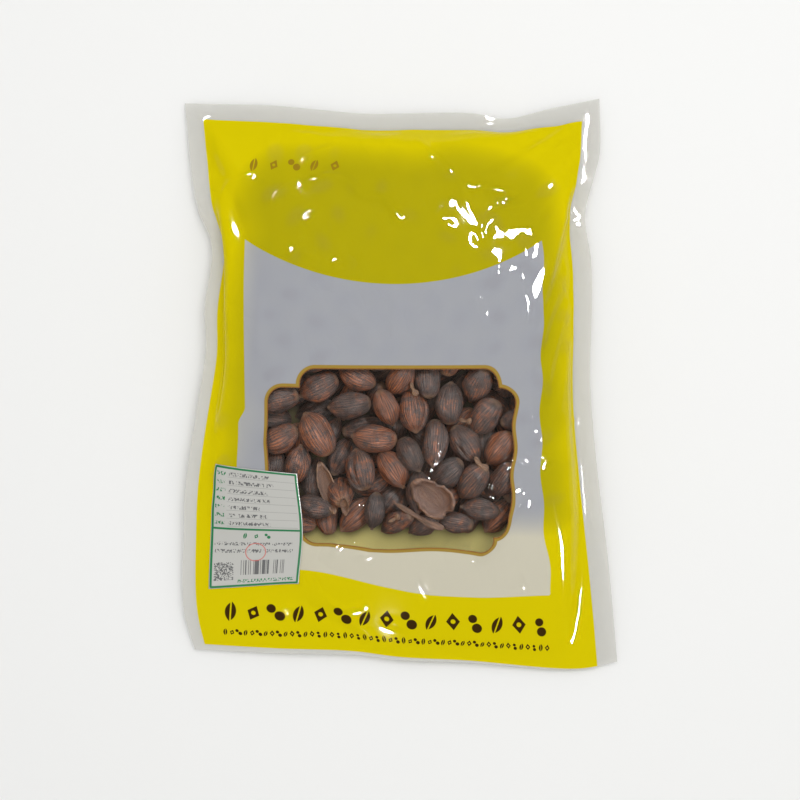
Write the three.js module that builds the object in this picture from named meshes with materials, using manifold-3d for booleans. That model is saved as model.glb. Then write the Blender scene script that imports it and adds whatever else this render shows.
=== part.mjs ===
// A sealed flat pouch of whole dried black cardamom pods, lying on its back with its printed side up.
// Two sheets of film are sealed to each other round all four sides. The pods push them apart into a
// pillow: the front sheet arches over the pods, and the back sheet lies flat where the pods rest on it.
// The front has a clear pane. It is left open here, and the pods that show through it are a heap in it.
// A paper label is stuck on the front sheet, low on the left. Millimetres, +Z up, +Y towards the top seal.
import * as THREE from "three";
import { mergeVertices } from "three/addons/utils/BufferGeometryUtils.js";
import Module from "manifold-3d";

const wasm = await Module();
wasm.setup();

// ---- Driving dimensions ----
const film = { width: 300, height: 400, seal: 14, bottomSeal: 12, thickness: 0.8 };
const pillow = {
  rise: 33, // how far the front sheet stands above the seals, without its bumps
  sideAngle: THREE.MathUtils.degToRad(66), // at which the film leaves the side seals
  sideReach: 64, // of film, from the side seals to where the front is level
  topAngle: THREE.MathUtils.degToRad(62),
  topReach: 66,
  bottomStart: 12, // the front climbs slowly over the empty foot of the pouch
  bottomReach: 116,
  headSlope: 0.16, // share of the rise that is lost towards the top seal
  headFrom: 0.45, // where that starts and ends, as shares of the height
  headTo: 0.9,
  backDrop: 17, // how far the back sheet would hang below the seals, if nothing stopped it
  backReach: 46,
};
const sealLift = { corner: 3.2, side: 7.2, end: 2.4, bow: 0.8 };
const sealRipple = { height: 1.3, reach: 36, sideWaves: 4.5, sideStart: 0.3, endWaves: 3.5, endStart: 0.1 };
const pod = { length: 31, width: 22, columnPitch: 0.92, rowPitch: 1.08, loose: 0.45, seed: 7 };
const bump = {
  height: 3.4, // of the film over a pod of the top layer
  least: 0.35, // the lowest, as a share of that
  bluntness: 0.8,
  from: 0.35, // shares of the pillow's rise between which the bumps grow to their full height
  to: 0.9,
};
const calmReach = 12; // film that comes out of a seal is smooth over this distance
const podBed = { left: 42, right: 258, bottom: 84, top: 362 };
const label = { left: 25, right: 85, bottom: 51, top: 139, thickness: 0.5, gap: 0.3 };
const facetSize = 7.6;
const steepest = 0.92; // the film's climb, as a share of its length, is counted up to here

// The window is two boxes with round corners, laid over each other. Places are on the flat film.
const pane = {
  boxes: [
    { left: 60, right: 230, bottom: 93, top: 196 },
    { left: 82, right: 219, bottom: 82, top: 209 },
  ],
  corner: 12,
  floor: 3.5, // what is left of the pouch under the heap
  clearance: 0.3, // round the heap
  headroom: 1.2, // between the pods and the film
};
const heap = {
  level: 0.6, // height of the core, as a share of the film's height over it
  coarse: 3, // the core follows every third line of the film's grid
  sides: 8, // of a pod
  rings: 5,
  thickest: 22, // the largest pods lie flattened to this
  sampleReach: 0.35, // share of a pod's length and width within which it stays under the film
  // pods that show, and the last three a husk, a slice and a stalk: x, y, length, width, turn in degrees
  pods: [
    [-56, -2, 29, 21, 72], [-30, 5, 29, 21, -12], [-35, -14, 30, 21, 20], [-16, -10, 29, 21, 80],
    [-58, -35, 34, 24, -22], [-83, -38, 29, 21, 60], [-72, -55, 29, 21, -35], [-18, -38, 32, 22, 10],
    [-9, -15, 29, 21, 65], [7, -19, 30, 24, 66], [19, 4, 29, 21, -10], [0, 3, 29, 21, 70],
    [35, -13, 29, 21, -65], [54, -2, 29, 21, 30], [59, -23, 29, 21, 40], [68, -45, 29, 21, 52],
    [45, -42, 31, 22, 84], [22, -42, 33, 21, 70], [-3, -58, 31, 21, 35], [-27, -59, 30, 23, -15],
    [-59, -84, 29, 21, -8], [-18, -88, 29, 21, 5], [-3, -99, 28, 20, -6], [32, -61, 29, 21, 75],
    [48, -72, 29, 21, 60], [68, -67, 29, 21, 40], [55, -89, 29, 21, 10], [39, -96, 28, 20, 0],
    [15, -102, 28, 20, 20], [-84, -11, 29, 21, 50], [7, -48, 28, 20, 60], [-87, -50, 29, 21, 80],
    [22, -78, 34, 25, -50], [-50, -73, 38, 12, -73], [13, -92, 40, 8, -26],
  ],
};

// ---- The pouch's outline, seen from above: each edge is one smooth curve ----
const corner = {
  bottomLeft: [-144, -186.6],
  bottomRight: [152.7, -195.2],
  topLeft: [-150.9, 196.8],
  topRight: [140.2, 200.1],
};
const smoothEdge = (points) =>
  new THREE.CatmullRomCurve3(points.map(([x, y]) => new THREE.Vector3(x, y, 0)), false, "centripetal");
const edge = {
  left: smoothEdge([
    corner.bottomLeft, [-151.5, -158], [-151, -100], [-150, -73], [-141.5, -16], [-135.3, 25],
    [-136.4, 52], [-131.4, 97], [-140.4, 120.4], [-144.8, 140.5], corner.topLeft,
  ]),
  right: smoothEdge([
    corner.bottomRight, [146.2, -126.6], [136.6, -46], [133, 4], [134.2, 52], [133.7, 87],
    [129.6, 118], [136.2, 145], [140.2, 162], corner.topRight,
  ]),
  bottom: smoothEdge([
    corner.bottomLeft, [-86, -189.2], [-32, -190.3], [0, -194], [46.6, -195.7], [126, -200.5],
    corner.bottomRight,
  ]),
  top: smoothEdge([
    corner.topLeft, [-88, 195], [-53, 191.7], [-23.5, 189.2], [49.5, 189.6], [74, 185.8], [106, 193],
    corner.topRight,
  ]),
};

// ---- Puckers: folds that run from a seal into the film. Place and course are on the flat film ----
const puckerTaper = { before: 8, full: 0.25, fades: 0.45 }; // the last two are shares of a fold's length
const deepestPucker = 0.6; // as a share of the pillow's rise there
const puckers = [
  { from: [12, 348], to: [66, 312], height: -4, width: 9 },
  { from: [12, 322], to: [62, 288], height: 3, width: 9 },
  { from: [44, 300], to: [48, 236], height: -2.5, width: 8 },
  { from: [12, 222], to: [52, 192], height: -3, width: 9 },
  { from: [288, 352], to: [232, 328], height: 3, width: 9 },
  { from: [288, 322], to: [246, 296], height: -3, width: 9 },
  { from: [262, 300], to: [254, 232], height: -2.5, width: 8 },
  { from: [288, 238], to: [256, 226], height: 2.5, width: 8 },
  { from: [172, 392], to: [216, 346], height: 3.5, width: 8 },
  { from: [226, 390], to: [232, 352], height: -3, width: 8 },
  { from: [84, 390], to: [124, 358], height: 3, width: 8 },
  { from: [236, 62], to: [214, 122], height: 3.5, width: 8 },
  { from: [156, 58], to: [150, 104], height: 2.5, width: 8 },
];

// ---- Grid lines on the flat sheet. Some lie on the seals and on the label's edges ----
function gridLines(marks) {
  const lines = [marks[0]];
  for (let k = 1; k < marks.length; k++) {
    const cells = Math.round((marks[k] - marks[k - 1]) / facetSize);
    for (let i = 1; i <= cells; i++) lines.push(THREE.MathUtils.lerp(marks[k - 1], marks[k], i / cells));
  }
  return lines;
}
const { width, height, seal, bottomSeal } = film;
const columnLines = gridLines([0, seal, label.left, label.right, width - seal, width]);
const rowLines = gridLines([0, bottomSeal, label.bottom, label.top, height - seal, height]);

// ---- Heights of the film, by its place on the flat sheet: s from the left, t from the bottom ----
const share = (value, start, end) => THREE.MathUtils.smoothstep(value, start, end);

// Film that leaves a seal at an angle bends over along an arc, and is level after its reach.
function archShare(distance, angle, reach) {
  const left = angle * (1 - THREE.MathUtils.clamp(distance / reach, 0, 1));
  return (Math.cos(left) - Math.cos(angle)) / (1 - Math.cos(angle));
}

function sealHeight(a, b) {
  const along = Math.sin(Math.PI * b) ** sealLift.bow;
  const level = sealLift.corner + sealLift.side * along + sealLift.end * Math.sin(Math.PI * a) * (1 - along);
  const toSide = Math.min(a, 1 - a) * film.width;
  const toEnd = Math.min(b, 1 - b) * film.height;
  const wave = (turns) => Math.sin(2 * Math.PI * turns);
  const nearSeal = (distance) => 1 - share(distance, 0, sealRipple.reach);
  const sideRipple = wave(sealRipple.sideWaves * b + sealRipple.sideStart) * nearSeal(toSide);
  const endRipple = wave(sealRipple.endWaves * a + sealRipple.endStart) * nearSeal(toEnd);
  return level + sealRipple.height * (sideRipple + endRipple);
}

// The same draw each time: a number from 0 to 1 for each index.
function draw(index) {
  const value = Math.sin((index + 1) * 12.9898 + pod.seed * 78.233) * 43758.5453;
  return value - Math.floor(value);
}

// The pods of the top layer, in loose staggered rows.
function podRows() {
  const columnPitch = pod.length * pod.columnPitch;
  const rowPitch = pod.width * pod.rowPitch;
  const pods = [];
  for (let row = 0, t = podBed.bottom + pod.width / 2; t < podBed.top; row++, t += rowPitch) {
    for (let s = podBed.left + (row % 2 ? 0.75 : 0.25) * columnPitch; s < podBed.right; s += columnPitch) {
      const index = pods.length * 4;
      pods.push({
        s: s + (draw(index) - 0.5) * pod.width * pod.loose,
        t: t + (draw(index + 1) - 0.5) * pod.width * pod.loose,
        turn: draw(index + 2) * Math.PI,
        bump: bump.height * (bump.least + (1 - bump.least) * draw(index + 3)),
      });
    }
  }
  return pods;
}
const topPods = podRows();

// How far the pods under one place push the film up.
function podBump(s, t) {
  let highest = 0;
  for (const one of topPods) {
    const along = (s - one.s) * Math.cos(one.turn) + (t - one.t) * Math.sin(one.turn);
    const across = (t - one.t) * Math.cos(one.turn) - (s - one.s) * Math.sin(one.turn);
    const radius = Math.hypot((2 * along) / pod.length, (2 * across) / pod.width);
    if (radius >= 1) continue;
    highest = Math.max(highest, one.bump * Math.cos((Math.PI / 2) * radius) ** bump.bluntness);
  }
  return highest;
}

function puckerHeight(s, t) {
  let height = 0;
  for (const fold of puckers) {
    const [fromS, fromT] = fold.from;
    const alongS = fold.to[0] - fromS;
    const alongT = fold.to[1] - fromT;
    const length = Math.hypot(alongS, alongT);
    const along = ((s - fromS) * alongS + (t - fromT) * alongT) / length;
    const across = ((t - fromT) * alongS - (s - fromS) * alongT) / length;
    const grows = share(along, -puckerTaper.before, puckerTaper.full * length);
    const taper = grows * (1 - share(along, puckerTaper.fades * length, length));
    height += fold.height * taper * Math.exp(-((across / fold.width) ** 2));
  }
  return height;
}

const fromSide = (s) => Math.min(s, width - s) - seal;
const fromTop = (t) => height - seal - t;

// The front sheet as a smooth pillow.
function pillowRise(s, t) {
  const across = archShare(fromSide(s), pillow.sideAngle, pillow.sideReach);
  const head = archShare(fromTop(t), pillow.topAngle, pillow.topReach);
  const foot = share(t, pillow.bottomStart, pillow.bottomStart + pillow.bottomReach);
  const crown = 1 - pillow.headSlope * share(t, pillow.headFrom * height, pillow.headTo * height);
  return pillow.rise * across * head * foot * crown;
}

// The same with the pods' bumps and the folds.
function frontRise(s, t) {
  const smooth = pillowRise(s, t);
  const awayFromSeal = (distance) => share(distance, 0, calmReach);
  const clear = awayFromSeal(fromSide(s)) * awayFromSeal(fromTop(t)) * awayFromSeal(t - bottomSeal);
  const folds = Math.max(puckerHeight(s, t), -deepestPucker * smooth) * clear;
  const bumps = podBump(s, t) * share(smooth / pillow.rise, bump.from, bump.to);
  return Math.max(0, smooth + folds + bumps);
}

function backDrop(s, t) {
  const reached = (distance) => THREE.MathUtils.clamp(distance / pillow.backReach, 0, 1);
  const quarterWave = (distance) => Math.sin((Math.PI / 2) * reached(distance));
  return pillow.backDrop * quarterWave(fromSide(s)) * quarterWave(Math.min(t - bottomSeal, fromTop(t)));
}

// ---- From the flat sheet to the filled pouch ----
// A point inside the outline: the four edges are blended, so that each edge is met exactly.
function insideOutline(a, b) {
  const at = (curve, u) => curve.getPointAt(THREE.MathUtils.clamp(u, 0, 1));
  const point = new THREE.Vector3();
  point.addScaledVector(at(edge.bottom, a), 1 - b).addScaledVector(at(edge.top, a), b);
  point.addScaledVector(at(edge.left, b), 1 - a).addScaledVector(at(edge.right, b), a);
  for (const [place, weight] of [
    [corner.bottomLeft, (1 - a) * (1 - b)],
    [corner.bottomRight, a * (1 - b)],
    [corner.topLeft, (1 - a) * b],
    [corner.topRight, a * b],
  ])
    point.addScaledVector(new THREE.Vector3(...place, 0), -weight);
  return point;
}

// Film keeps its length, so a steep stretch covers less ground. This gives, for each grid line across
// a section of the film, the share of the ground covered so far.
function groundShares(lines, heights) {
  const ground = [0];
  for (let i = 1; i < lines.length; i++) {
    const step = lines[i] - lines[i - 1];
    const climb = Math.min(Math.abs(heights[i] - heights[i - 1]), steepest * step);
    ground.push(ground[i - 1] + Math.sqrt(step * step - climb * climb));
  }
  return ground.map((value) => value / ground[ground.length - 1]);
}

// One sheet of the pouch as rows of points: its smooth form sets where they lie over the ground.
// offset is half the film's thickness, up or down.
function sheetPoints(smoothHeight, fullHeight, offset) {
  const smooth = rowLines.map((t) => columnLines.map((s) => smoothHeight(s, t)));
  const alongRows = smooth.map((row) => groundShares(columnLines, row));
  const alongColumns = columnLines.map((_, i) => groundShares(rowLines, smooth.map((row) => row[i])));
  return rowLines.map((t, j) =>
    columnLines.map((s, i) => {
      const point = insideOutline(alongRows[j][i], alongColumns[i][j]);
      return point.setZ(Math.max(0, sealHeight(s / width, t / height) + offset + fullHeight(s, t)));
    }),
  );
}

// A closed solid between two grids of points of the same size. Both faces are split alike.
function solidBetween(upper, lower) {
  const rows = upper.length - 1;
  const columns = upper[0].length - 1;
  const count = (rows + 1) * (columns + 1);
  const at = (j, i) => j * (columns + 1) + i;
  const indices = [];
  for (let j = 0; j < rows; j++) {
    for (let i = 0; i < columns; i++) {
      const [a, b, c, d] = [at(j, i), at(j, i + 1), at(j + 1, i + 1), at(j + 1, i)];
      indices.push(a, b, c, a, c, d);
      indices.push(count + a, count + c, count + b, count + a, count + d, count + c);
    }
  }
  const rim = [];
  for (let i = 0; i < columns; i++) rim.push(at(0, i));
  for (let j = 0; j < rows; j++) rim.push(at(j, columns));
  for (let i = columns; i > 0; i--) rim.push(at(rows, i));
  for (let j = rows; j > 0; j--) rim.push(at(j, 0));
  rim.forEach((from, k) => {
    const to = rim[(k + 1) % rim.length];
    indices.push(from, count + from, count + to, from, count + to, to);
  });
  const geometry = new THREE.BufferGeometry().setFromPoints([...upper.flat(), ...lower.flat()]);
  geometry.setIndex(indices);
  geometry.computeVertexNormals();
  return geometry;
}

// ---- The pouch ----
const hang = (s, t) => -backDrop(s, t);
const front = sheetPoints(pillowRise, frontRise, film.thickness / 2);
const back = sheetPoints(hang, hang, -film.thickness / 2);
const wholePouch = solidBetween(front, back);

// ---- The label, which lies on the facets of the front sheet ----
const lineTolerance = 0.01;
function linesWithin(lines, low, high) {
  const numbers = lines.map((_, k) => k);
  return numbers.filter((k) => lines[k] > low - lineTolerance && lines[k] < high + lineTolerance);
}
const columnsWithin = linesWithin(columnLines, label.left, label.right);
const rowsWithin = linesWithin(rowLines, label.bottom, label.top);
function labelPoints(above) {
  const normals = wholePouch.getAttribute("normal");
  return rowsWithin.map((j) =>
    columnsWithin.map((i) => {
      const normal = new THREE.Vector3().fromBufferAttribute(normals, j * columnLines.length + i);
      return front[j][i].clone().addScaledVector(normal, above);
    }),
  );
}
const labelGeometry = solidBetween(labelPoints(label.gap + label.thickness), labelPoints(label.gap));

// ---- The window and the heap of pods in it ----
function toSolid(geometry) {
  const bare = geometry.clone();
  bare.deleteAttribute("normal");
  bare.deleteAttribute("uv");
  const merged = mergeVertices(bare);
  const vertProperties = merged.attributes.position.array;
  const triVerts = new Uint32Array(merged.index.array);
  return new wasm.Manifold(new wasm.Mesh({ numProp: 3, vertProperties, triVerts }));
}
function toGeometry(solid) {
  const mesh = solid.getMesh();
  const geometry = new THREE.BufferGeometry();
  geometry.setAttribute("position", new THREE.BufferAttribute(mesh.vertProperties, 3));
  geometry.setIndex(new THREE.BufferAttribute(mesh.triVerts, 1));
  return geometry;
}

// The whole without the loose scraps that a cut leaves.
function withoutScraps(solid) {
  return solid.decompose().reduce((best, one) => (one.volume() > best.volume() ? one : best));
}

// A point of the front sheet, by its place on the flat film.
function onFront(s, t) {
  const cell = (lines, value) => Math.max(0, lines.findIndex((line) => line > value) - 1);
  const [i, j] = [cell(columnLines, s), cell(rowLines, t)];
  const u = (s - columnLines[i]) / (columnLines[i + 1] - columnLines[i]);
  const v = (t - rowLines[j]) / (rowLines[j + 1] - rowLines[j]);
  const low = front[j][i].clone().lerp(front[j][i + 1], u);
  return low.lerp(front[j + 1][i].clone().lerp(front[j + 1][i + 1], u), v);
}

// An upright block under the window, from a height up to above the film.
function windowBlock(inset, bottom) {
  const blocks = pane.boxes.map((box) => {
    const { left, right, bottom: low, top: high } = box;
    const [radius, quarter] = [pane.corner - inset, Math.PI / 2];
    const outline = new THREE.Path();
    outline.absarc(right - pane.corner, high - pane.corner, radius, 0, quarter);
    outline.absarc(left + pane.corner, high - pane.corner, radius, quarter, 2 * quarter);
    outline.absarc(left + pane.corner, low + pane.corner, radius, 2 * quarter, 3 * quarter);
    outline.absarc(right - pane.corner, low + pane.corner, radius, 3 * quarter, 4 * quarter);
    const plan = outline.getPoints(4).slice(0, -1).map((point) => onFront(point.x, point.y));
    const shape = new THREE.Shape(plan.map((point) => new THREE.Vector2(point.x, point.y)));
    const block = new THREE.ExtrudeGeometry(shape, { depth: 3 * pillow.rise, bevelEnabled: false });
    return toSolid(block.translate(0, 0, bottom));
  });
  return blocks.reduce((joined, block) => joined.add(block));
}

// The height of the front sheet over a place on the ground, from the nearest point of its grid.
const gridPoints = front.flat();
function filmAt(x, y) {
  const away = (point) => Math.hypot(point.x - x, point.y - y);
  return gridPoints.reduce((best, point) => (away(point) < away(best) ? point : best)).z;
}

function podSolid([x, y, length, wide, degrees]) {
  const turn = THREE.MathUtils.degToRad(degrees);
  const [cos, sin] = [heap.sampleReach * Math.cos(turn), heap.sampleReach * Math.sin(turn)];
  const overPod = [[0, 0], [length, 0], [-length, 0], [0, wide], [0, -wide]].map(([along, across]) =>
    filmAt(x + along * cos - across * sin, y + along * sin + across * cos),
  );
  const thick = Math.min(wide, heap.thickest);
  const pod = new THREE.SphereGeometry(1, heap.sides, heap.rings).rotateZ(Math.PI / 2);
  pod.scale(length / 2, wide / 2, thick / 2).rotateZ(turn);
  return toSolid(pod.translate(x, y, Math.min(...overPod) - pane.headroom - thick / 2));
}

const ground = Math.min(...back.flat().map((point) => point.z));
const wholeSolid = toSolid(wholePouch);
const pouchGeometry = toGeometry(wholeSolid.subtract(windowBlock(0, ground + pane.floor)));
const everyThird = (points) => points.filter((_, k) => k % heap.coarse === 0 || k === points.length - 1);
const coreTop = (point) => point.clone().setZ(THREE.MathUtils.lerp(ground, point.z, heap.level));
const core = solidBetween(
  everyThird(front).map((row) => everyThird(row).map(coreTop)),
  everyThird(back).map(everyThird),
);
const heapSolid = heap.pods.reduce((joined, one) => joined.add(podSolid(one)), toSolid(core));
const heapRoom = windowBlock(pane.clearance, ground + pane.floor + pane.clearance);
const underFilm = wholeSolid.translate([0, 0, -pane.headroom]);
const heapGeometry = toGeometry(withoutScraps(heapSolid.intersect(heapRoom).intersect(underFilm)));

// ---- The parts, with the origin on the ground under the middle of the pouch ----
const pack = new THREE.Group();
pouchGeometry.computeBoundingBox();
const middle = pouchGeometry.boundingBox.getCenter(new THREE.Vector3());
pack.position.set(-middle.x, -middle.y, -pouchGeometry.boundingBox.min.z);

const pouchMesh = new THREE.Mesh(
  pouchGeometry,
  new THREE.MeshStandardMaterial({ color: 0xd9c704, roughness: 0.22, metalness: 0 }),
);
pouchMesh.name = "pouch";
const labelMesh = new THREE.Mesh(
  labelGeometry,
  new THREE.MeshStandardMaterial({ color: 0xd8d6d2, roughness: 0.55, metalness: 0 }),
);
labelMesh.name = "label";
const podsMesh = new THREE.Mesh(
  heapGeometry,
  new THREE.MeshStandardMaterial({ color: 0x5f4034, roughness: 0.75, metalness: 0 }),
);
podsMesh.name = "pods";
pack.add(pouchMesh, labelMesh, podsMesh);

export default pack;
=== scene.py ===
import math
import bpy
import numpy as np
from functools import partialmethod
from mathutils import Matrix, Vector
from mathutils.bvhtree import BVHTree


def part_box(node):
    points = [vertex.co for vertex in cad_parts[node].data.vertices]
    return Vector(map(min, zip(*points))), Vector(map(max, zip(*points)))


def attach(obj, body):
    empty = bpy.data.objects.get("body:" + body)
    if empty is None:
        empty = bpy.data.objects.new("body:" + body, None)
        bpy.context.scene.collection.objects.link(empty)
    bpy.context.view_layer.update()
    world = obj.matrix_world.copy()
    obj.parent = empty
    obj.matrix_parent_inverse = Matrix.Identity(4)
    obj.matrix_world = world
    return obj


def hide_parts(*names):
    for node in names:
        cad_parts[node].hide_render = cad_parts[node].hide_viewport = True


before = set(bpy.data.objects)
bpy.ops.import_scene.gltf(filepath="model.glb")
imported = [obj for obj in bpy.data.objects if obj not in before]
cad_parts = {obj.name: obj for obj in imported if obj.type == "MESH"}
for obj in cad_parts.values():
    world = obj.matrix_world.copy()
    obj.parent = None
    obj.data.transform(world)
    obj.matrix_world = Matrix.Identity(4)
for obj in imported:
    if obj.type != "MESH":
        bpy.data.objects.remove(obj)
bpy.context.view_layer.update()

# A sealed pouch of dried black cardamom pods, lying on its back. The pods are packed first, then the film
# is relaxed over them. Lengths are millimetres: x and y as seen from above, and on the flat film s from its
# left edge and t from its bottom edge. Meshes are made in metres.
mm = 0.001


class Nodes:
    # short ways to add nodes to a tree: a value may be a number or another node's socket
    def __init__(self, tree):
        self.tree = tree

    def feed(self, sockets, values):
        for key, value in values.items():
            socket = sockets[key]
            if isinstance(value, bpy.types.NodeSocket):
                self.tree.links.new(value, socket)
            elif isinstance(value, tuple) and len(value) == 3 and len(socket.default_value) == 4:
                socket.default_value = (*value, 1)
            else:
                socket.default_value = value

    def add(self, kind, inputs=None, **settings):
        node = self.tree.nodes.new(kind)
        for key, value in settings.items():
            setattr(node, key, value)
        self.feed(node.inputs, inputs or {})
        return node

    def calc(self, operation, *values, clamp=False):
        inputs = dict(enumerate(values))
        return self.add("ShaderNodeMath", inputs, operation=operation, use_clamp=clamp).outputs[0]

    plus = partialmethod(calc, "ADD")
    minus = partialmethod(calc, "SUBTRACT")
    times = partialmethod(calc, "MULTIPLY")
    over = partialmethod(calc, "DIVIDE")
    timesPlus = partialmethod(calc, "MULTIPLY_ADD")
    least = partialmethod(calc, "MINIMUM")
    most = partialmethod(calc, "MAXIMUM")
    absolute = partialmethod(calc, "ABSOLUTE")
    floor = partialmethod(calc, "FLOOR")
    sine = partialmethod(calc, "SINE")
    isAbove = partialmethod(calc, "GREATER_THAN")
    isBelow = partialmethod(calc, "LESS_THAN")

    def isBetween(self, value, low, high):
        return self.times(self.isAbove(value, low), self.isBelow(value, high))

    def vector(self, operation, *values):
        return self.add("ShaderNodeVectorMath", dict(enumerate(values)), operation=operation).outputs[0]

    def scaled(self, vector, factor):
        return self.add("ShaderNodeVectorMath", {0: vector, "Scale": factor}, operation="SCALE").outputs[0]

    def point(self, *values):
        return self.add("ShaderNodeCombineXYZ", dict(enumerate(values))).outputs[0]

    def parts(self, vector):
        return self.add("ShaderNodeSeparateXYZ", {0: vector}).outputs

    def flatPlace(self):
        # the place on the piece as laid flat, in millimetres
        return self.parts(self.scaled(self.add("ShaderNodeUVMap", uv_map="UVMap").outputs[0], 1 / mm))

    def attribute(self, name, output="Fac"):
        return self.add("ShaderNodeAttribute", attribute_name=name).outputs[output]

    def mix(self, share, a, b):
        return self.add("ShaderNodeMix", {0: share, 6: a, 7: b}, data_type="RGBA").outputs[2]

    def blend(self, share, a, b):
        return self.add("ShaderNodeMix", {0: share, 2: a, 3: b}, data_type="FLOAT").outputs[0]

    def noise(self, vector, scale, detail=2.0, roughness=0.5, output=0):
        inputs = {"Vector": vector, "Scale": scale, "Detail": detail, "Roughness": roughness}
        return self.add("ShaderNodeTexNoise", inputs).outputs[output]

    def step(self, value, low, high):
        # 0 below low, 1 above high, smooth between
        inputs = {0: value, 1: low, 2: high}
        return self.add("ShaderNodeMapRange", inputs, interpolation_type="SMOOTHSTEP").outputs[0]

    def fade(self, value, low, high):
        # 1 below low, 0 above high
        return self.minus(1.0, self.step(value, low, high))

    def inside(self, distance, soft=0.35):
        # 1 where a signed distance in millimetres is below 0
        return self.timesPlus(distance, -1 / soft, 0.5, clamp=True)

    def length(self, x, y):
        return self.calc("SQRT", self.plus(self.times(x, x), self.times(y, y)))

    def away(self, s, t, middle):
        return self.length(self.minus(s, middle[0]), self.minus(t, middle[1]))

    def box(self, s, t, middle, half, corner):
        # signed distance to a rectangle with round corners
        x = self.minus(self.absolute(self.minus(s, middle[0])), half[0] - corner)
        y = self.minus(self.absolute(self.minus(t, middle[1])), half[1] - corner)
        outer = self.length(self.most(x, 0.0), self.most(y, 0.0))
        return self.minus(self.plus(outer, self.least(self.most(x, y), 0.0)), corner)

    def bump(self, height, strength, distance=0.001):
        inputs = {"Strength": strength, "Distance": distance, "Height": height}
        return self.add("ShaderNodeBump", inputs).outputs[0]

    def use(self, group, inputs):
        return self.add("ShaderNodeGroup", inputs, node_tree=group).outputs


def newGroup(name, inputs, outputs):
    # inputs: name to starting value, with None for a vector
    tree = bpy.data.node_groups.new(name, "ShaderNodeTree")
    for key, value in inputs.items():
        kind = "NodeSocketVector" if value is None else "NodeSocketFloat"
        socket = tree.interface.new_socket(key, in_out="INPUT", socket_type=kind)
        if value is not None:
            socket.default_value = value
    for key in outputs:
        tree.interface.new_socket(key, in_out="OUTPUT", socket_type="NodeSocketFloat")
    start, end = tree.nodes.new("NodeGroupInput"), tree.nodes.new("NodeGroupOutput")
    return tree, Nodes(tree), start.outputs, end.inputs


def newMaterial(name):
    material = bpy.data.materials.new(name)
    material.use_nodes = True
    return material, Nodes(material.node_tree), material.node_tree.nodes["Principled BSDF"].inputs


def setAttribute(mesh, name, values, kind="FLOAT", domain="POINT"):
    number = {"INT": np.int32, "BOOLEAN": bool}.get(kind, np.float32)
    data = mesh.attributes.new(name, kind, domain).data
    data.foreach_set("vector" if kind == "FLOAT_VECTOR" else "value", np.asarray(values, number).ravel())


def makeMesh(name, points, faces, uvs=None, smooth=True):
    # points and uvs in millimetres; uvs are listed for each corner of each face
    mesh = bpy.data.meshes.new(name)
    mesh.from_pydata((np.asarray(points) * mm).tolist(), [], faces)
    if uvs is not None:
        mesh.uv_layers.new(name="UVMap").data.foreach_set("uv", (np.asarray(uvs, np.float32) * mm).ravel())
    mesh.polygons.foreach_set("use_smooth", [smooth] * len(mesh.polygons))
    piece = bpy.data.objects.new(name, mesh)
    bpy.context.scene.collection.objects.link(piece)
    return piece


def gridFaces(index, flip=False):
    # quads between the points of a grid of point numbers
    quads = np.stack([index[:-1, :-1], index[:-1, 1:], index[1:, 1:], index[1:, :-1]], -1).reshape(-1, 4)
    return quads[:, ::-1] if flip else quads


# camera, floor and light
studio = {
    # in metres, apart from floorReach; the view is viewWidth wide at viewLevel above the floor
    "cameraHeight": 1.508, "cameraY": -0.0112, "viewWidth": 0.56, "viewLevel": 0.008, "sensor": 36.0,
    "floorReach": 3000.0, "floorColor": (0.83, 0.83, 0.815), "floorRoughness": 0.9, "skyStrength": 0.76,
    # the film mirrors a dim floor and sky, so that it keeps its colour
    "floorMirrored": (0.10, 0.10, 0.10), "skyMirrored": 0.02,
    "aim": (0, 0, 0.02),
    # name: place, size, power, and whether it is only seen mirrored in the film
    "lights": {
        "overhead": ((0.25, 0.45, 1.6), (1.2, 1.2), 10.0, False),
        "glintCorner": ((0.57, 0.57, 1.30), (0.44, 0.11), 44.0, True),
        "glintRight": ((0.98, -0.16, 1.30), (0.12, 0.05), 7.0, True),
        "glintStreak": ((1.31, -0.73, 1.30), (0.24, 0.15), 40.0, True),
        "glintLeft": ((-0.52, 0.92, 1.30), (0.34, 0.05), 16.0, True),
        "glintFoot": ((-0.20, -1.25, 1.20), (0.08, 0.03), 2.6, True),
    },
}


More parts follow.
